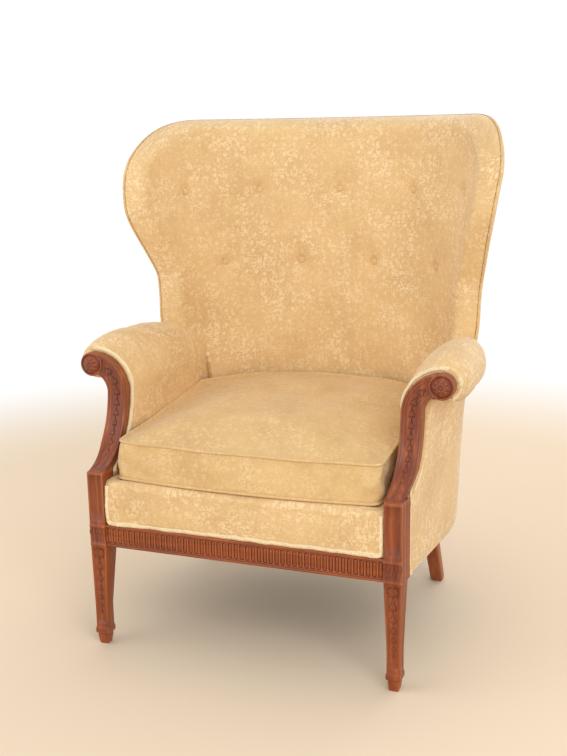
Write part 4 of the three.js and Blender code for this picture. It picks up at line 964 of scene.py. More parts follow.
def armProfile(y, puffed=1.0):
    # from the seat up the inner face, over the roll and in under it, seen from the front
    s, p = stump, armPad
    run = float(np.clip((y - s["backY"]) / (p["end"] - s["backY"]), 0, 1))
    pad = float(armFullness(run)) * puffed
    radius = lerp(s["scrollRadius"], p["endRadius"], float(smooth(run * 3.4 - 2.4)))
    level = s["shoulder"] + s["shoulderRadius"] - radius
    inner, top, outer = (p[k] * pad for k in ("inner", "top", "outer"))
    tuck = float(tuckLevel(y))
    tuckX = float(surfaceAt(shareAtDepth(y, tuck), tuck)[0])
    shoulder = (s["shoulderRadius"] + inner, s["shoulderRadius"] + top)
    line = [(s["inner"] - inner, p["bottom"]), (s["inner"] - inner, 400), (s["inner"] - inner, 460)]
    line += list(arcPoints(s["shoulderX"], s["shoulder"], shoulder, 180, 97, 22))
    end = lerp(*p["endTurn"], float(smooth(run * 2)))
    line += list(arcPoints(s["scrollX"], level, (radius + top, radius + outer), 84, end, 26))
    x, z = np.array(line).T
    share = np.clip((x - s["inner"]) / (s["scrollX"] - s["inner"]), 0, 1)
    x = x - lerp(p["flatDrift"] * run ** 1.5, p["scrollDrift"] * run ** 3, share)
    last = np.array([x[-1], z[-1]])
    tucked = np.array([tuckX + 0.6, tuck + 1])
    middle = (last + tucked) / 2 - (0, 4.5 * pad)
    tail = [middle * 0.6 + last * 0.4 - (0, 0.8), middle, middle * 0.5 + tucked * 0.5 - (0, 1.2), tucked]
    inside = tucked + (-5, 3)
    return resampled(np.concatenate([np.stack([x, z], -1), tail, [inside]]), p["around"])


def makeArm(side, sign):
    p = armPad
    steps = 1 - (1 - np.linspace(0, 1, p["along"])) ** 1.15
    rings, faceY = [], stump["backY"] + p["lip"]
    stations = faceY + (p["end"] + p["reach"] - faceY) * steps
    seamRun = np.linspace(p["seam"] - 24, p["seam"] + 24, 45)
    stations = np.sort(np.concatenate([stations[np.abs(stations - p["seam"]) > 25], seamRun]))
    # the cover rounds over the stump's back edge, where the braid hides its tacks
    for t in np.linspace(0, 1, p["lead"], endpoint=False):
        ring = armProfile(stump["backY"], lerp(-0.3, 1, math.sqrt(1 - (1 - t) ** 2)))
        start = np.minimum(stumpBack(ring[:, 1]) + 0.8, stump["backY"] + 0.4)
        rings.append(np.stack([ring[:, 0], lerp(start, faceY, t ** 1.5), ring[:, 1]], -1))
    # further back it goes in under the cover of the wing
    for y in stations:
        ring = armProfile(min(y, p["end"]))
        within = surfaceAt(shareAtDepth(y, ring[:, 1]), ring[:, 1])[0] - 3
        x = lerp(ring[:, 0], np.minimum(ring[:, 0], within), smooth((y - p["end"] + 20) / 40))
        rings.append(np.stack([x, np.full(len(ring), y), ring[:, 1]], -1))
    grid = settleArm(np.array(rings), sign)
    fromSeam = np.abs(grid[:, :, 1] - seamLine(np.linspace(0, 1, p["around"])))
    grid = settled(grid, p["give"], hold=(fromSeam < 2) | (grid[:, :, 1] > p["seam"] + 15))
    cloth = clothSpread(grid)
    inner = grid - outOf(grid) * p["cloth"]
    if sign < 0:
        grid, inner, cloth = grid[:, ::-1] * (-1, 1, 1), inner[:, ::-1] * (-1, 1, 1), cloth[:, ::-1]
    piece = shell(f"arm_cover_{side}", grid, inner, finishes["damask"], cloth + (0, 300 * sign))
    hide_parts(f"inside_arm_{side}")
    return piece


def seamLine(share):
    # where the seam to the inside back crosses the arm, share of the way round it
    return armPad["seam"] - armPad["seamSlant"] * (share - 0.5)


def settleArm(grid, sign):
    # pull folds where the cover goes in under the roll and where it meets the back
    p, y = armPad, grid[:, :, 1]
    share = np.linspace(0, 1, grid.shape[1])[None, :] + 0 * y
    free = smooth((y - stumpBack(grid[:, :, 2]) - 8) / 26)
    lumps = unevenness(y, share * 420, 21 + sign, 130) * p["lumps"]
    roll = smooth((share - 0.72) / 0.14) * smooth((1.0 - share) / 0.1)
    pleats = np.sin(y / 15.5 + 1.2 * np.sin(y / 37 + sign)) * p["pleats"] * roll
    behind = y - seamLine(share)
    lift = (lumps + pleats) * free
    lift -= p["seamSink"] * np.exp(-np.abs(behind) / 1.5) + p["seamDip"] * np.exp(-((behind / 9) ** 2))
    lift += p["seamBulge"] * np.exp(-(((behind + 16) / 8) ** 2)) * smooth((share - 0.3) / 0.2)
    return grid + outOf(grid) * lift[:, :, None]


def makeSidePanel(side, sign):
    # the arm's outside, from the back seam to the stump and the post
    c = outsideCover
    columns, rows = 96, 62
    t, v = ((easeBoth(count, 1.25) + 1) / 2 for count in (columns, rows))
    y = np.zeros((rows, columns))
    bottom = chair["railBottom"]
    # height and depth hang on each other, so they are worked out in turns
    for _ in range(3):
        z = lerp(bottom, tuckLevel(y) + 3, v[:, None])
        frontY = np.where(z < chair["postTop"], chair["postDepth"] + 0.6, stumpBack(z) + 4)
        rearY = layerAt(c["backHalf"] + 0.0014, z, 0)[..., 1]
        y = lerp(rearY, frontY, t[None, :])
    q = shareAtDepth(y, z)
    arc = arcOf(q, z)
    inwards = np.minimum(np.minimum(np.abs(arc - arc[:, :1]), 200), z - bottom)
    depth = turnedIn(inwards) + unevenness(arc, z, 31 + sign, 120) * c["uneven"]
    front, back = layerAt(q, z, depth), layerAt(q, z, depth + c["thick"])
    # the cover turns in at the front to meet the stump's back edge
    level = z[:, -1:]
    edge = np.where(level < chair["postTop"], postOuter, stumpOuter(level)) - 4
    turned = np.where(level < chair["postTop"], chair["postDepth"] + 0.3, stumpBack(level) + 0.5)
    bend = np.radians(np.linspace(0, 90, 8))[1:]
    over = lerp(front[:, -1:, 0], edge, 1 - np.cos(bend))
    along = lerp(front[:, -1:, 1], turned, np.sin(bend))
    wrap = np.stack([over, along, level + 0 * over], -1)
    front = np.concatenate([front, wrap], 1) * (sign, 1, 1)
    back = np.concatenate([back, wrap + (-c["thick"], c["thick"], 0)], 1) * (sign, 1, 1)
    more = arc[:, -1:] + np.linspace(2, 16, len(bend))
    arc, z = np.concatenate([arc, more], 1) * sign, np.concatenate([z, level + 0 * more], 1)
    if sign > 0:
        front, back, arc, z = front[:, ::-1], back[:, ::-1], arc[:, ::-1], z[:, ::-1]
    piece = shell(f"side_panel_{side}", front, back, finishes["damask"], np.stack([arc, z + 40], -1))
    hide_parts(f"outside_arm_{side}")
    return piece


armCovers, sideCovers = {}, {}
for side, sign in (("left", -1), ("right", 1)):
    armCovers[side] = makeArm(side, sign)
    sideCovers[side] = makeSidePanel(side, sign)
print("arms covered")


# Loose seat cushion: a crowned top, drawn-in boxing, two welts, and the dents of years of use
seat = {
    "deck": 353.0, "bottom": 353.4, "gap": 0.3, "sideGap": 1.4, "backGap": 3.0, "frontY": 41, "frontBulge": 15,
    "frontLean": 13, "frontEdge": 429, "backRise": 36, "crown": 34, "sideRise": 19, "boxingSwell": 5.5,
    "dent": 7, "wrinkles": 1.5, "lumps": (6.5, 1.6), "puckers": (0.9, 0.35), "boxingFolds": 2.4,
    "boxingLumps": 2.2, "slack": (1.5, 0.9), "corner": 15, "give": 8, "welt": 3.0,
    "around": 300, "topRings": 60, "boxRings": 22,
}
seat["half"] = stump["inner"] - armPad["inner"] - 4 - seat["sideGap"] - 2 * seat["welt"] - seat["gap"]


def cushionPlan():
    s = seat
    flat = s["half"] - s["corner"]
    t = np.linspace(0, 1, 13)
    front = np.stack([flat * t, s["frontY"] - s["frontBulge"] * (1 - t * t)], -1)
    corner = arcPoints(flat, s["frontY"] + s["corner"], s["corner"], -90, 0, 9)[1:]
    q = np.linspace(0, 1, 200)
    reach = padThickness(q) + s["backGap"] + 2 * s["welt"] + s["gap"]
    rear = layerAt(q, s["deck"], reach)[:, :2]
    rear = rear[rear[:, 0] < s["half"]]
    side = [(s["half"], y) for y in np.linspace(corner[-1][1], rear[-1][1], 6)[1:]]
    right = np.concatenate([front, corner, side, rear[::-1]])
    left = right[1:-1][::-1] * (-1, 1)
    return resampled(np.concatenate([right, left]), s["around"], closed=True)


plan = cushionPlan()
planMiddle = (seat["frontY"] + plan[:, 1].max()) / 2
planBack = plan[plan[:, 0] > seat["half"] - 2, 1].max()
planLength = planBack - seat["frontY"]
planAlong = unit(np.roll(plan, -1, 0) - np.roll(plan, 1, 0))
planOut = np.stack([planAlong[:, 1], -planAlong[:, 0]], -1)


def edgeHeight(y):
    return seat["frontEdge"] + seat["backRise"] * np.clip((y - seat["frontY"]) / planLength, 0, 1) ** 1.3


def boxingRing(t, out):
    lean = seat["frontLean"] * (1 - t) * np.clip(1 - plan[:, 1] / planMiddle, 0, 1)
    z = lerp(seat["bottom"] + seat["welt"], edgeHeight(plan[:, 1]), t)
    at = plan + planOut * np.reshape(out, (-1, 1))
    return np.stack([at[:, 0], at[:, 1] - lean, z + 0 * plan[:, 1]], -1)


def nearCorner(width):
    # how near a point of the outline is to one of the two front corners
    x, y = seat["half"] - 8, seat["frontY"] + 8
    corners = np.array([(x, y), (-x, y)])
    d = np.linalg.norm(plan[:, None, :] - corners[None], axis=2).min(1)
    return np.exp(-((d / width) ** 2))


def cushionTop():
    # rings from the middle out to the welt, and their places in the cloth
    s = seat
    center = s["frontEdge"] + s["crown"] + s["sideRise"]
    rim = boxingRing(1, np.zeros(len(plan)))
    rings, cloth = [], []
    for share in 1 - (1 - np.linspace(0, 1, s["topRings"])) ** 1.35:
        x = rim[:, 0] * share
        y = lerp(planMiddle, rim[:, 1], share)
        z = lerp(center, edgeHeight(y), share ** 2.6)
        wrinkle = s["wrinkles"] * np.sin(x / 17 + 1.4 * np.sin(y / 43))
        wrinkle = wrinkle * smooth((share - 0.55) / 0.3) * smooth((1.0 - share) / 0.06)
        front = np.clip(1 - (y - s["frontY"]) / 150, 0, 1)
        z = z + wrinkle * (0.25 + 0.75 * front) * 0.6
        z = z + unevenness(x, y, 41, 170) * s["lumps"][0] * (1 - share ** 4)
        z = z + unevenness(x, y, 47, 70) * s["lumps"][1] * (1 - share ** 6)
        z = z - s["dent"] * np.exp(-(((x - 30) / 150) ** 2 + ((y - 300) / 120) ** 2))
        rings.append(np.stack([x, y, z], -1))
        cloth.append(np.stack([x, y], -1))
    return rings, cloth


def cushionBoxing():
    # rings from the upper welt down to the lower one
    s, count = seat, len(plan)
    run = np.linalg.norm(np.roll(plan, -1, 0) - plan, axis=1).cumsum()
    wide, fine = s["puckers"]
    puckers = np.sin(run / 9.5 + 1.7 * np.sin(run / 33)) * wide + np.sin(run / 4.9) * fine
    slack = nearCorner(70) * np.where(plan[:, 0] > 0, *s["slack"])
    rings, cloth = [], []
    for t in np.linspace(1, 0, s["boxRings"]):
        bow = math.sin(math.pi * t)
        edge = 4 * t * (1 - t)
        fold = (np.sin(run / 15 + 6 * t) + 0.6 * np.sin(run / 7 - 9 * t)) * s["boxingFolds"] * slack * bow
        out = s["boxingSwell"] * bow ** 0.8 + puckers * (1 - edge) * min(1, 9 * t * (1 - t)) + fold
        out += unevenness(run, np.full(count, 90 * t), 53, 120) * s["boxingLumps"] * bow
        rings.append(boxingRing(t, out))
        cloth.append(np.stack([run + 900, np.full(count, t * 76)], -1))
    return rings, cloth, run


def makeCushion():
    s, count = seat, len(plan)
    top, topCloth = cushionTop()
    box, boxCloth, run = cushionBoxing()
    top[1:] = list(settled(np.array(top)[1:], s["give"], closed=True))
    box = list(settled(np.array(box), s["give"] * 0.7, closed=True))
    low = boxingRing(0, np.zeros(count))
    under = [low]
    for share in (0.985, 0.93, 0.6, 0.25, 0.02):
        flat = np.full(count, s["bottom"])
        under.append(np.stack([low[:, 0] * share, lerp(planMiddle, low[:, 1], share), flat], -1))
    underCloth = [ring[:, :2] + (0, 1400) for ring in under]
    faces, start = [], 0
    for rings in (top, box, under):
        faces += gridFaces(len(rings), count, closed=True, start=start)
        start += len(rings) * count
    faces += [tuple(range(count - 1, -1, -1)), tuple(range(start - count, start))]
    faces = [tuple(reversed(f)) for f in faces]
    points, cloth = np.concatenate(top + box + under), np.concatenate(topCloth + boxCloth + underCloth)
    piece = meshFrom("seat_cushion_cover", points, faces, finishes["worn"], "seat_cushion", cloth)
    sewTogether(piece)
    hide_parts("seat_cushion")
    for level, t in (("top", 1), ("bottom", 0)):
        route = boxingRing(t, np.full(count, s["welt"] * 0.55))
        route[:, 2] += 0.6 * np.sin(run / 26) * t
        welt = tube(f"cushion_piping_{level}", route, s["welt"], 10, finishes["worn"], "seat_cushion", True, 2200)
        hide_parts(f"cushion_welt_{level}")


def sewTogether(piece):
    # joins the panels' edges where they meet, so that the cover is one closed form
    work = bmesh.new()
    work.from_mesh(piece.data)
    bmesh.ops.remove_doubles(work, verts=work.verts, dist=0.00002)
    bmesh.ops.recalc_face_normals(work, faces=work.faces)
    work.to_mesh(piece.data)
    work.free()


makeCushion()


# Seat border below the cushion, stuffed over the front rail, and the platform behind it
border = {
    "half": 289.4, "front": 5, "low": 262.7, "top": 353, "roll": 16, "swell": 5.5, "thick": 3,
    "platform": 335.3, "platformDrop": 1.5, "give": 4, "lumps": 2.4, "pull": 0.9,
}


def makeBorder():
    s = border
    outline = []
    for t in np.linspace(0, 1, 26):
        swell = s["swell"] * math.sin(math.pi * (t * 0.8 + 0.05)) ** 0.7
        outline.append((s["front"] + 2 - swell, lerp(s["low"], s["top"] - s["roll"], t)))
    start = np.array(outline[-1])
    for a in np.radians(np.linspace(8, 90, 14)):
        outline.append((start[0] + s["roll"] * (1 - math.cos(a)), start[1] + s["roll"] * math.sin(a)))
    outline += [(y, s["top"]) for y in (34, 60)]
    profile = resampled(outline, 54)
    x = easeBoth(150, 1.2) * s["half"]
    front = np.zeros((len(profile), len(x), 3))
    front[:, :, 0] = x[None]
    front[:, :, 1] = profile[:, :1]
    front[:, :, 2] = profile[:, 1:]
    inwards = s["half"] - np.abs(front[:, :, 0])
    share = np.linspace(0, 1, len(profile))[:, None]
    lumps = unevenness(front[:, :, 0], share * 130, 61, 130) * s["lumps"]
    pull = s["pull"] * np.sin(front[:, :, 0] / 8.5 + 1.6 * np.sin(front[:, :, 0] / 41)) * np.exp(-share / 0.16)
    tight = smooth(inwards / 18)
    front[:, :, 1] -= (lumps + pull) * tight * (share < 0.8) - 4 * (1 - tight)
    back = front.copy()
    back[:, :, 1] += s["thick"]
    back[:, :, 2] -= 2.5 * (share > 0.75)
    front = settled(front[:, ::-1], s["give"])[:, ::-1]
    cloth = clothSpread(front)
    piece = shell("seat_border", front[:, ::-1], back[:, ::-1], finishes["damask"], cloth[:, ::-1] + (0, 500))
    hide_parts("seat_deck")
    return piece


def makePlatform():
    # the cloth platform that the cushion lies on
    s, around = border, 200
    clear = backPad["padStart"] + 1
    rear = layerAt(np.linspace(0, 1, 60), s["top"], clear)[:, :2]
    rear = rear[rear[:, 1] > chair["postDepth"]]
    more = shareAtDepth(chair["postDepth"] + 1, s["top"])
    sides = layerAt(np.linspace(1, float(more), 20), s["top"], clear)[1:, :2]
    right = np.concatenate([rear, sides, [(s["half"], 47), (s["half"], 58)]])
    edge = resampled(np.concatenate([right, right[::-1][:-1] * (-1, 1)]), around, closed=True)
    middle = np.array((0, 320))
    level = np.full(around, s["top"] - s["platformDrop"])
    rings = [np.column_stack([lerp(middle, edge, share), level]) for share in (0.02, 0.25, 0.5, 0.75, 0.93, 1)]
    under = [ring - (0, 0, s["top"] - s["platform"]) for ring in reversed(rings)]
    points = np.concatenate(rings + under)
    count = len(rings) * 2
    faces = gridFaces(count, around, closed=True) + endCaps(count, around)
    piece = meshFrom("seat_platform", points, faces, finishes["worn"], cloth=points[:, :2] + (0, 3000))
    sewTogether(piece)


borderCover = makeBorder()
makePlatform()
print("seat and cushion made")


# Carved mahogany: stumps with beads, husks and rosettes, fluted rail, legs with drops of husks
def joinedMesh(name, parts, material, mirror=False):
    points, faces, start = [], [], 0
    for verts, polygons in parts:
        verts = np.asarray(verts, float)
        points.append(verts * (-1, 1, 1) if mirror else verts)
        faces += [tuple(start + k for k in (reversed(f) if mirror else f)) for f in polygons]
        start += len(verts)
    return meshFrom(name, np.concatenate(points), faces, material)


def ringSolid(rings):
    rings = np.asarray(rings, float)
    n, m = rings.shape[:2]
    return rings.reshape(-1, 3), gridFaces(n, m, closed=True) + endCaps(n, m)


def leafPatch(place, u, v, turn, length, width, height):
    # a carved leaf that points down the wood: place(across, along, out) gives a point on it
    rows, columns, vein = 11, 9, 0.35
    points = []
    c, s = math.cos(turn), math.sin(turn)
    for i in range(rows):
        t = i / (rows - 1)
        half = width / 2 * max(math.sin(math.pi * t ** 0.8), 0) ** 0.75
        for j in range(columns):
            w = 2 * j / (columns - 1) - 1
            out = height * (1 - w * w) ** 0.6 * math.sin(math.pi * min(t * 0.9 + 0.08, 1)) ** 0.5
            out -= vein * height * math.exp(-((w / 0.22) ** 2)) * (1 - t) + 0.35 * (abs(w) == 1 or t in (0, 1))
            a, b = w * half, t * length
            points.append(place(u + a * c + b * s, v + b * c - a * s, out))
    return points, gridFaces(rows, columns) + [tuple(reversed(gridRim(rows, columns)))]


def bossPatch(place, u, v, radius, height):
    rows, around = 5, 14
    points = []
    for i in range(rows):
        turn = math.pi / 2 * i / (rows - 1)
        for j in range(around):
            a = -2 * math.pi * j / around
            r = radius * math.sin(turn) + 0.01
            points.append(place(u + r * math.cos(a), v + r * math.sin(a), height * math.cos(turn) - 0.2))
    return points, gridFaces(rows, around, closed=True) + endCaps(rows, around)


def husk(place, size, height):
    # a bellflower: three leaves, a bud at the top and a seed at the tip
    leaf, width = size * 0.74, size * 0.34
    parts = [leafPatch(place, 0, size * 0.16, turn, leaf, width, height * 0.8) for turn in (0.42, -0.42)]
    parts.append(leafPatch(place, 0, size * 0.1, 0.0, size * 0.86, width, height))
    parts.append(bossPatch(place, 0, size * 0.1, size * 0.13, height * 0.9))
    parts.append(bossPatch(place, 0, size * 1.03, size * 0.075, height * 0.6))
    return parts


def below(place, top):
    # the same place on the wood, measured downwards from top
    return lambda across, along, out: place(across, top - along, out)


def huskChain(place, look, top, step, thinned):
    # a drop of husks that grow smaller downwards
    parts, count = [], look["husks"]
    for k in range(count):
        share = k / (count - 1)
        size = look["huskSize"] * lerp(1, look["huskShrink"], share)
        parts += husk(below(place, top), size * 0.86, look["huskHeight"] * lerp(1, thinned, share))
        top -= size * step
    return parts


stumpCarving = {
    "steps": 150, "bottom": 372.3, "straight": 138.7, "endAngle": 101, "field": 2.8,
    "bead": ((0, 0.5, 1.5, 3, 4.4, 5.2, 5.8, 7.6, 8.8, 10), (1.8, 0.8, 0.1, 0, 0.5, 1.6, 0.8, 0.8, 2.5, 2.8)),
    "beadWidth": 42, "huskTop": 196, "husks": 9, "huskSize": 25, "huskShrink": 0.62, "huskHeight": 3.0,
    "domeRadius": 18.5, "domeHeight": 9, "domeSink": 1.6, "petals": 8,
    "rim": [(19.2, 1.6), (19.8, 1.9), (20.4, 1.2), (21.2, 0.2), (22.4, -0.4), (23.6, -0.1), (24.5, 0.7), (25, 1.9)],
    "drum": [(25, 6), (25, 7.2), (24.4, 7.8), (24.4, 8.6), (25, 9.2), (25, 21.2), (24, 22), (0.02, 22)],
}


def stumpEdges(run):
    # the band's inner and outer edge, run along it from its foot: straight up, then round the hook
    s, c = stump, stumpCarving
    if run <= c["straight"]:
        z = c["bottom"] + run
        low = [chair["postTop"], chair["postTop"] + s["flareRise"], chair["postTop"] + s["bandRise"]]
        start = postInner - s["neckInset"]
        left = np.interp(z, low, [start, postInner, s["inner"]])
        right = stumpOuter(z)
        return np.array((left, z)), np.array((right, z))
    middle = (s["shoulderRadius"] + s["hook"]) / 2
    a = math.pi - (run - c["straight"]) / middle
    way = np.array((math.cos(a), math.sin(a)))
    center = np.array((s["shoulderX"], s["shoulder"]))
    return center + way * s["shoulderRadius"], center + way * s["hook"]


def stumpPlace(across, run, out):
    # across is measured from the band's middle, run from its foot
    left, right = stumpEdges(run)
    width = np.linalg.norm(right - left)
    x, z = lerp(left, right, 0.5 + across / width)
    return x, float(stumpFront(z)) + stumpCarving["field"] - out, z


def makeStump(side, mirror):
    s, c = stump, stumpCarving
    middle = (s["shoulderRadius"] + s["hook"]) / 2
    length = c["straight"] + middle * math.radians(180 - c["endAngle"])
    beadAt, beadSink = c["bead"]
    shares = np.concatenate([np.array(beadAt) / c["beadWidth"], np.linspace(0.28, 0.5, 4)])
    shares = np.concatenate([shares, 1 - shares[-2::-1]])
    rings = []
    for run in np.linspace(0, length, c["steps"]):
        left, right = stumpEdges(run)
        width = np.linalg.norm(right - left)
        ring = []
        for share in shares:
            x, z = lerp(left, right, share)
            sink = np.interp(min(share, 1 - share) * width, beadAt, beadSink)
            if run < 6:
                sink = lerp(1.4, sink, float(smooth((run - 3) / 3)))
            ring.append((x, float(stumpFront(z)) + sink, z))
        ends = [(x, z, front, float(stumpBack(z))) for (x, z), front in ((right, ring[-1][1]), (left, ring[0][1]))]
        near, far = ([(x, lerp(front, rear, t), z) for x, z, front, rear in ends] for t in (0.12, 1))
        rings.append(ring + [near[0], far[0], far[1], near[1]])
    parts = [ringSolid(rings)] + huskChain(stumpPlace, c, c["huskTop"], 0.98, 0.8) + [scrollEnd()]
    piece = joinedMesh(f"stump_carved_{side}", parts, finishes["arms"], mirror)
    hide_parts(f"arm_stump_{side}")


def scrollEnd():
    # the scroll: a beaded rim round a domed rosette with two rows of petals
    s, c = stump, stumpCarving
    radii = np.linspace(0.02, c["domeRadius"], 26)
    turns = [-2 * math.pi * j / 96 for j in range(96)]
    rings = []
    for r in radii:
        rings.append([(r, s["frontY"] + c["domeSink"] - rosetteHeight(r, a), a) for a in turns])
    for r, sink in c["rim"] + c["drum"]:
        rings.append([(r, s["frontY"] + sink, a) for a in turns])
    return ringSolid([[(s["scrollX"] + r * math.cos(a), y, s["scrollZ"] + r * math.sin(a)) for r, y, a in ring]
                      for ring in rings])


def rosetteHeight(r, a):
    c = stumpCarving

    def hill(at, width):
        # a ring of height 1 round the middle, at that radius
        return math.exp(-(((r - at) / width) ** 2))

    half = c["petals"] * a / 2
    dome = c["domeHeight"] * max(1 - (r / c["domeRadius"]) ** 2, 0) ** 0.55
    outer = abs(math.cos(half)) ** 0.7 * hill(12.5, 4.2) * 2.2
    cleft = -1.5 * math.exp(-((math.sin(half + math.pi / 2) / 0.22) ** 2)) * hill(12.5, 5)
    inner = abs(math.sin(half)) ** 0.7 * hill(6.4, 2.2) * 1.7
    boss = 1.6 * max(1 - (r / 3.0) ** 2, 0) ** 0.5
    return dome + outer + cleft + inner + boss - 0.8 * hill(3.7, 0.6)


railCarving = {
    "half": 289.7, "face": 4, "bead": 5, "proud": 2, "thick": 27,
    "flutes": 48, "width": 8.8, "height": 32, "depth": 2.4, "floor": 0.7,
}


def makeRail():
    s = railCarving
    low, high = chair["railBottom"], chair["railTop"]
    middle = (low + high) / 2
    pitch = 2 * s["half"] / s["flutes"]
    half = s["width"] / 2
    # closer steps where a flute's edge turns down
    steps = np.array([0, 0.34, 0.56, 0.68, 0.78, 0.88, 0.98, 1.12]) * half
    local = np.concatenate([-steps[::-1], steps[1:]]) + pitch / 2
    xs = np.concatenate([[0]] + [local + k * pitch for k in range(s["flutes"])] + [[2 * s["half"]]]) - s["half"]
    # from the lower bead over the face, and the same again downwards from the upper bead
    turns = np.linspace(0, math.pi, 9)
    beadZ = [low + s["bead"] / 2 * (1 - math.cos(a)) for a in turns]
    beadY = [s["face"] - s["proud"] * math.sin(a) ** 0.8 for a in turns]
    ends = np.linspace(low + s["bead"] + 0.6, low + 15, 20)
    inner = np.concatenate([ends, [middle - 5, middle, middle + 5], high + low - ends[::-1]])
    z = np.array(beadZ + list(inner) + [high - v + low for v in beadZ[::-1]])
    y = np.array(beadY + [s["face"]] * len(inner) + beadY[::-1])
    across = np.mod(xs + s["half"], pitch) - pitch / 2
    along = np.maximum(np.abs(z - middle) - (s["height"] / 2 - half), 0)
    d = np.hypot(across[None], along[:, None]) / half
    cut = s["depth"] * np.exp(-(((d - 0.78) / 0.17) ** 2)) + s["floor"] * smooth((0.9 - d) / 0.3)
    front = np.stack([xs + 0 * cut, y[:, None] + cut, z[:, None] + 0 * cut], -1)
    back = front.copy()
    back[:, :, 1] = s["thick"]
    piece = shell("rail_fluted", front, back, finishes["across"], front[:, :, (0, 2)])
    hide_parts("front_rail")


legCarving = {
    "innerTaper": 6, "outerTaper": 2, "ankle": 85, "ankleDepth": 27, "splay": 4, "bevel": 1.1,
    "border": 4.2, "sink": 1.8, "panelLow": 272, "panelHigh": 366, "fieldLow": 48, "fieldHigh": 212,
    "blockProud": postProud, "palmette": 24, "reed": 0.9,
    "husks": 7, "huskTop": 211, "huskSize": 28, "huskShrink": 0.42, "huskHeight": 2.8,
    "foot": [(0, 16), (1.4, 18), (9, 21), (17, 23), (20, 23.2), (22.5, 22)],
    "collar": [(23.5, 0), (24.5, 1.0), (27, 1.7), (30, 1.8), (34, 1.5), (37, 0.8), (38, 0.1), (42, 0), (48, 0)],
    "reeds": [(0.12, 0), (0.15, 1), (0.2, 1), (0.24, 0.1), (0.42, 0), (0.46, 1), (0.5, 1), (0.54, 0), (0.93, 0)],
}


def legBox(z):
    # the post's sides at a height: inner and outer face, front, back, and how far it widens to the back
    s = legCarving
    low = chair["railBottom"]
    if z >= low:
        return postInner, postOuter, 0.0, chair["postDepth"], s["splay"]
    t = min((low - z) / (low - s["ankle"]), 1)
    depth = lerp(chair["postDepth"], s["ankleDepth"], t)
    return postInner + s["innerTaper"] * t, postOuter - s["outerTaper"] * t, t, depth, 0.0


def legPlace(across, z, out):
    x0, x1, y0, _, _ = legBox(z)
    return (x0 + x1) / 2 + across, y0 + legCarving["sink"] - out, z


def legRing(z, grow=0, sunk=0, reed=0, foot=None):
    # the post cut across at a height: grow widens it, sunk is the front panel's depth, reed the side's
    s = legCarving
    x0, x1, y0, y1, splay = legBox(z)
    if foot:
        cx, cy = (x0 + x1) / 2, s["ankleDepth"] / 2
        x0, x1, y0, y1 = cx - foot / 2, cx + foot / 2, cy - foot / 2, cy + foot / 2
    x0, x1, y0, y1 = x0 - grow, x1 + grow, y0 - grow, y1 + grow
    b, edge = s["bevel"], s["border"]
    ring = [(x0, y0 + b), (x0 + b * 0.3, y0 + b * 0.3), (x0 + b, y0), (x0 + edge - 0.5, y0)]
    ring += [(lerp(x0 + edge + 0.7, x1 - edge - 0.7, t), y0 + sunk) for t in (0, 0.25, 0.5, 0.75, 1)]
    ring += [(x1 - edge + 0.5, y0), (x1 - b, y0), (x1 - b * 0.3, y0 + b * 0.3), (x1, y0 + b)]
    for t, dip in s["reeds"]:
        ring.append((x1 + splay * t - reed * dip, lerp(y0, y1, t)))
    ring += [(x1 + splay, y1 - b), (x1 + splay - b, y1), (x0 + b, y1), (x0, y1 - b), (x0, lerp(y0, y1, 0.5))]
    return [(x, y, z) for x, y in ring]


def sunkPanel(low, high, steps):
    # a sunk panel between two heights, with its rim
    s = legCarving
    return [legRing(z, 0, s["sink"], s["reed"]) for z in np.linspace(low + 1.2, high - 1.2, steps)]


def makeLeg(side, mirror):
    s = legCarving
    low, high, top, reed = chair["railBottom"], chair["railTop"], chair["postTop"], s["reed"]
    rows = [legRing(z, foot=foot) for z, foot in s["foot"]] + [legRing(z, grow) for z, grow in s["collar"]]
    rows += sunkPanel(s["fieldLow"], s["fieldHigh"], 24)
    rows += [legRing(s["fieldHigh"], reed=reed), legRing(low - 1)]
    block = [(low, 0.2), (low + 1.5, 1), (low + 5, 1), (low + 6, 0.4), (high - 7, 0.4), (high - 6, 1),
             (high - 1.5, 1), (high, 0.2)]
    rows += [blockRing(z, s["blockProud"] if grow == 1 else grow) for z, grow in block]
    rows += [legRing(high + 1, reed=reed), legRing(s["panelLow"], reed=reed)]
    rows += sunkPanel(s["panelLow"], s["panelHigh"], 6)
    rows += [legRing(s["panelHigh"], reed=reed), legRing(top - 1.2, reed=reed), legRing(top, -0.8, reed=reed)]
    parts = [ringSolid(rows)]
    for turn in (0.75, -0.75, 0.4, -0.4):
        length = s["palmette"] * (1.1 - abs(turn) * 0.4)
        parts.append(leafPatch(below(legPlace, s["huskTop"]), 0, 1, turn, length, 7.5, 2.2))
    parts += huskChain(legPlace, s, s["huskTop"], 1.04, 0.7) + blockCarving()
    piece = joinedMesh(f"leg_carved_{side}", parts, finishes["upright"], mirror)
    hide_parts(f"front_leg_{side}")


def blockRing(z, grow):
    # the block at rail level stands proud only at the front
    ring = legRing(max(z, chair["railBottom"]), reed=0.5)
    ring = [(min(x, postOuter + legCarving["splay"]), y - grow if y < 3 else y, z) for x, y, _ in ring]
    return [(x, y if y < 4 else min(y, chair["postDepth"]), z) for x, y, z in ring]


def blockCarving():
    # two rows of small leaves between the block's mouldings, and buds between the rows
    high = chair["railTop"] - 7
    middle = (postInner + postOuter) / 2
    place = lambda across, down, out: (middle + across, 0.2 - out, high - down)
    upper = [leafPatch(place, k * 6.4, 0.5, 0.16 * k, 15, 7.0, 2.0) for k in (-2, -1, 0, 1, 2)]
    lower = [leafPatch(place, k * 6.6, 15.5, 0.12 * k, 15.5, 7.2, 2.0) for k in (-1.5, -0.5, 0.5, 1.5)]
    return upper + lower + [bossPatch(place, k * 6.4, 15.2, 1.5, 1.7) for k in (-2, -1, 0, 1, 2)]


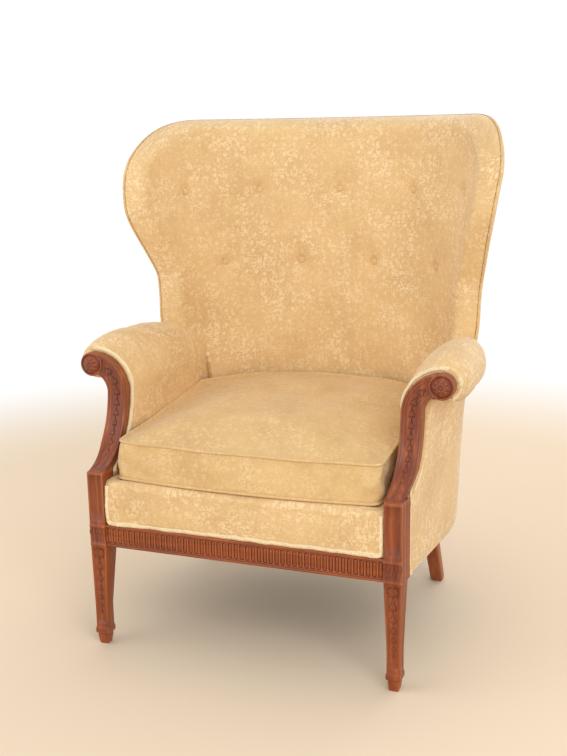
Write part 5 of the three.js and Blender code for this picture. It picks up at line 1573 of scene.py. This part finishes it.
def softenLeg(side):
    # the raked back leg with its corners rounded off
    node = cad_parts[f"back_leg_{side}"]
    mesh = node.data.copy()
    mesh.transform(node.matrix_world)
    mesh.name = f"leg_raked_{side}"
    work = bmesh.new()
    work.from_mesh(mesh)
    bmesh.ops.remove_doubles(work, verts=work.verts, dist=0.0001)
    sharp = [e for e in work.edges if len(e.link_faces) == 2 and e.calc_face_angle() > 0.6]
    bmesh.ops.bevel(work, geom=sharp, offset=0.006, segments=4, profile=0.5, affect="EDGES")
    work.to_mesh(mesh)
    work.free()
    mesh.polygons.foreach_set("use_smooth", [True] * len(mesh.polygons))
    mesh.materials.clear()
    mesh.materials.append(finishes["raked"])
    piece = linked(mesh.name, mesh)
    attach(piece, "chair_frame")
    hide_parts(node.name)


for side, mirror in (("left", True), ("right", False)):
    makeStump(side, mirror)
    makeLeg(side, mirror)
    softenLeg(side)
makeRail()
print("woodwork carved")


# Braid over the tacked edges: three cream strands plaited on a flat tape
braidLook = {
    "strand": 1.7, "sway": 3.5, "lift": 0.55, "period": 12, "tape": 0.7, "proud": 6,
    "step": 1.4, "sides": 6,
}


def plait(name, route, outward, node, width=1.0):
    # route runs along the braid's middle, outward points away from the cloth beneath
    s = braidLook
    run = runOf(route)
    at = np.linspace(0, run[-1], int(run[-1] / s["step"]))
    line, out = readAlong(at, run, route), unit(readAlong(at, run, outward))
    side = unit(np.cross(out, unit(np.gradient(line, axis=0))))
    parts = []
    for k in range(3):
        phase = 2 * math.pi * (at / s["period"] + k / 3)
        sway = (s["sway"] * width * np.sin(phase))[:, None]
        lift = (s["strand"] * 0.55 + s["lift"] * np.cos(2 * phase))[:, None]
        strand = line + side * sway + out * lift
        along = unit(np.gradient(strand, axis=0))
        upright = np.where(np.abs(along[:, 2:]) > 0.75, (1.0, 0.2, 0.0), (0.0, 0.2, 1.0))
        parts.append(ringSolid(roundRings(strand, along, upright, s["strand"] * width ** 0.5, s["sides"])))
    half = side * ((s["sway"] + 0.9) * width)
    tape = [line - half, line + half, line + half + out * s["tape"], line - half + out * s["tape"]]
    parts.append(ringSolid(np.stack(tape, 1)))
    piece = joinedMesh(name, parts, finishes["braid"])
    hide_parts(node)


def onCover(piece, route, aim=None):
    # the route laid on a cover, straight along aim or to the nearest point: its points there and the way
    # the cover faces
    verts = [v.co.copy() for v in piece.data.vertices]
    tree = BVHTree.FromPolygons(verts, [tuple(f.vertices) for f in piece.data.polygons])
    points, outward = [], []
    for place in toRoom(route):
        if aim is None:
            at, normal, _, _ = tree.find_nearest(Vector(place))
        else:
            at, normal, _, _ = tree.ray_cast(Vector(place), Vector(aim))
        points.append(place if at is None else at)
        outward.append(outward[-1] if at is None else normal)
    return fromRoom(np.array(points)), np.array(outward)


def makeFrontBraid():
    # down one side of the border, along the bottom and up the other, with rounded corners
    half, low, high, corner = border["half"] - 5, border["low"] + 4.8, border["top"] - 9, 5
    line = [(-half, z) for z in np.linspace(high, low + corner, 30)]
    turns = np.linspace(0.2, 1.4, 6)
    line += [(-half + corner - corner * math.cos(a), low + corner - corner * math.sin(a)) for a in turns]
    line += [(x, low) for x in np.linspace(-half + corner, half - corner, 160)]
    line += [(half - corner + corner * math.sin(a), low + corner - corner * math.cos(a)) for a in turns]
    line += [(half, z) for z in np.linspace(low + corner, high, 30)]
    x, z = np.array(line).T
    route, outward = onCover(borderCover, np.stack([x, 0 * x - 60, z], -1), (0, 1, 0))
    plait("braid_front", route, smoothed(outward + (0, -1.5, 0)), "front_gimp")


def makeSideBraids(side, sign, armCover, sideCover):
    # up the stump's inner edge and round the scroll, then up the outside panel's front edge
    s, rise = stump, braidLook["proud"]

    def around(x, z, radius, start, end, steps):
        at = arcPoints(x, z, radius + rise, start, end, steps)
        return np.stack([at[:, 0], np.full(steps, s["backY"] + 2.5), at[:, 1]], -1)

    z = np.linspace(360, 505, 60)
    line = np.stack([np.full(60, s["inner"] - 3.5), stumpBack(z) + 3.4, z], -1)
    shoulder = around(s["shoulderX"], s["shoulder"], s["shoulderRadius"], 178, 97, 50)
    scroll = around(s["scrollX"], s["scrollZ"], s["scrollRadius"], 84, -60, 60)
    route, outward = onCover(armCover, np.concatenate([line, shoulder, scroll]) * (sign, 1, 1))
    plait(f"braid_arm_{side}", smoothed(route, 2), smoothed(outward + (0, -0.6, 0)), f"arm_gimp_{side}", 0.92)
    z = np.concatenate([np.linspace(219, 370, 60), np.linspace(374, 530, 60)])
    y = np.where(z < chair["postTop"], chair["postDepth"], stumpBack(z)) + 2.5
    reach = surfaceAt(shareAtDepth(y, z), z)[0]
    x = np.where(z < chair["postTop"], reach, lerp(stumpOuter(z), reach, 0.6))
    route, outward = onCover(sideCover, np.stack([x * sign, y, z], -1))
    plait(f"braid_side_{side}", smoothed(route, 2), smoothed(outward), f"panel_gimp_{side}")


makeFrontBraid()
for side, sign in (("left", -1), ("right", 1)):
    makeSideBraids(side, sign, armCovers[side], sideCovers[side])
print("braid laid")


# Plain studio: a pale matt floor that runs out into white, a soft sky and soft lamps
studio = {
    "floor": shade(232, 212, 186), "mottle": shade(214, 190, 160), "reach": 30, "clear": 1.35, "white": 2.6,
    "sky": 0.88, "aim": (0, 0, 0.55),
    "keyPlace": (1.9, -2.5, 2.3), "keyPower": 40, "keySize": 1.7,
    "fillPlace": (-2.2, -1.9, 1.6), "fillPower": 15, "fillSize": 2.2,
    "rimPlace": (0.4, 2.6, 2.2), "rimPower": 18, "rimSize": 2.0,
}


def makeStudio():
    s, reach = studio, studio["reach"]
    mesh = bpy.data.meshes.new("studio_floor")
    corners = [(x * reach, y * reach, 0) for x, y in ((-1, -1), (1, -1), (1, 1), (-1, 1))]
    mesh.from_pydata(corners, [], [(0, 1, 2, 3)])
    look = Finish("studio_paper", {"Specular IOR Level": 0.15, "Roughness": 0.75, "Emission Strength": 1.0})
    at = look.place((0.001, 0.001, 0.001))
    far = look.node("VectorMath", {"operation": "LENGTH"}, {0: at})["Value"].ramp(s["clear"], s["white"])
    mottle = look.noise(at, 0.4, 2).ramp(0.3, 0.7) * 0.05
    paper = look.mix(mottle, s["floor"], s["mottle"])
    color = look.mix(far, paper, (0, 0, 0, 1))
    glow = look.mix(far, (0, 0, 0, 1), (1, 1, 1, 1))
    mesh.materials.append(look.surface(color=color, glow=glow))
    floor = linked("studio_floor", mesh)
    world = bpy.data.worlds.new("studio")
    scene.world = world
    world.use_nodes = True
    sky = Tree(world.node_tree)
    rays = sky.node("LightPath", {}, {})
    seen = rays["Is Camera Ray"].atLeast(rays["Is Glossy Ray"]).atLeast(rays["Is Transmission Ray"])
    level = sky.node("MapRange", {}, {"Value": seen, "To Min": s["sky"], "To Max": 1.0})["Result"]
    shell = sky.node("Background", {}, {"Color": (1, 1, 1, 1), "Strength": level})["Background"]
    sky.node("OutputWorld", {}, {"Surface": shell})
    for lamp in ("key", "fill", "rim"):
        data = bpy.data.lights.new(lamp, "AREA")
        data.energy, data.size = s[lamp + "Power"], s[lamp + "Size"]
        light = linked(lamp, data)
        light.location = s[lamp + "Place"]
        light.rotation_euler = (Vector(s["aim"]) - light.location).to_track_quat("-Z", "Y").to_euler()
    scene.view_settings.view_transform = "Standard"


makeStudio()
print("studio lit")

# The frame's own nodes that stay in view or stay hidden inside
cadFinish = {
    "jute": ["seat_webbing", "spring_hessian"],
    "lining": ["dust_cloth"],
    "wire": [f"seat_spring_{k}" for k in range(1, 10)],
}
named = {node: key for key, nodes in cadFinish.items() for node in nodes}
for node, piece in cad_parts.items():
    piece.data.materials.clear()
    piece.data.materials.append(finishes[named.get(node, "beech")])
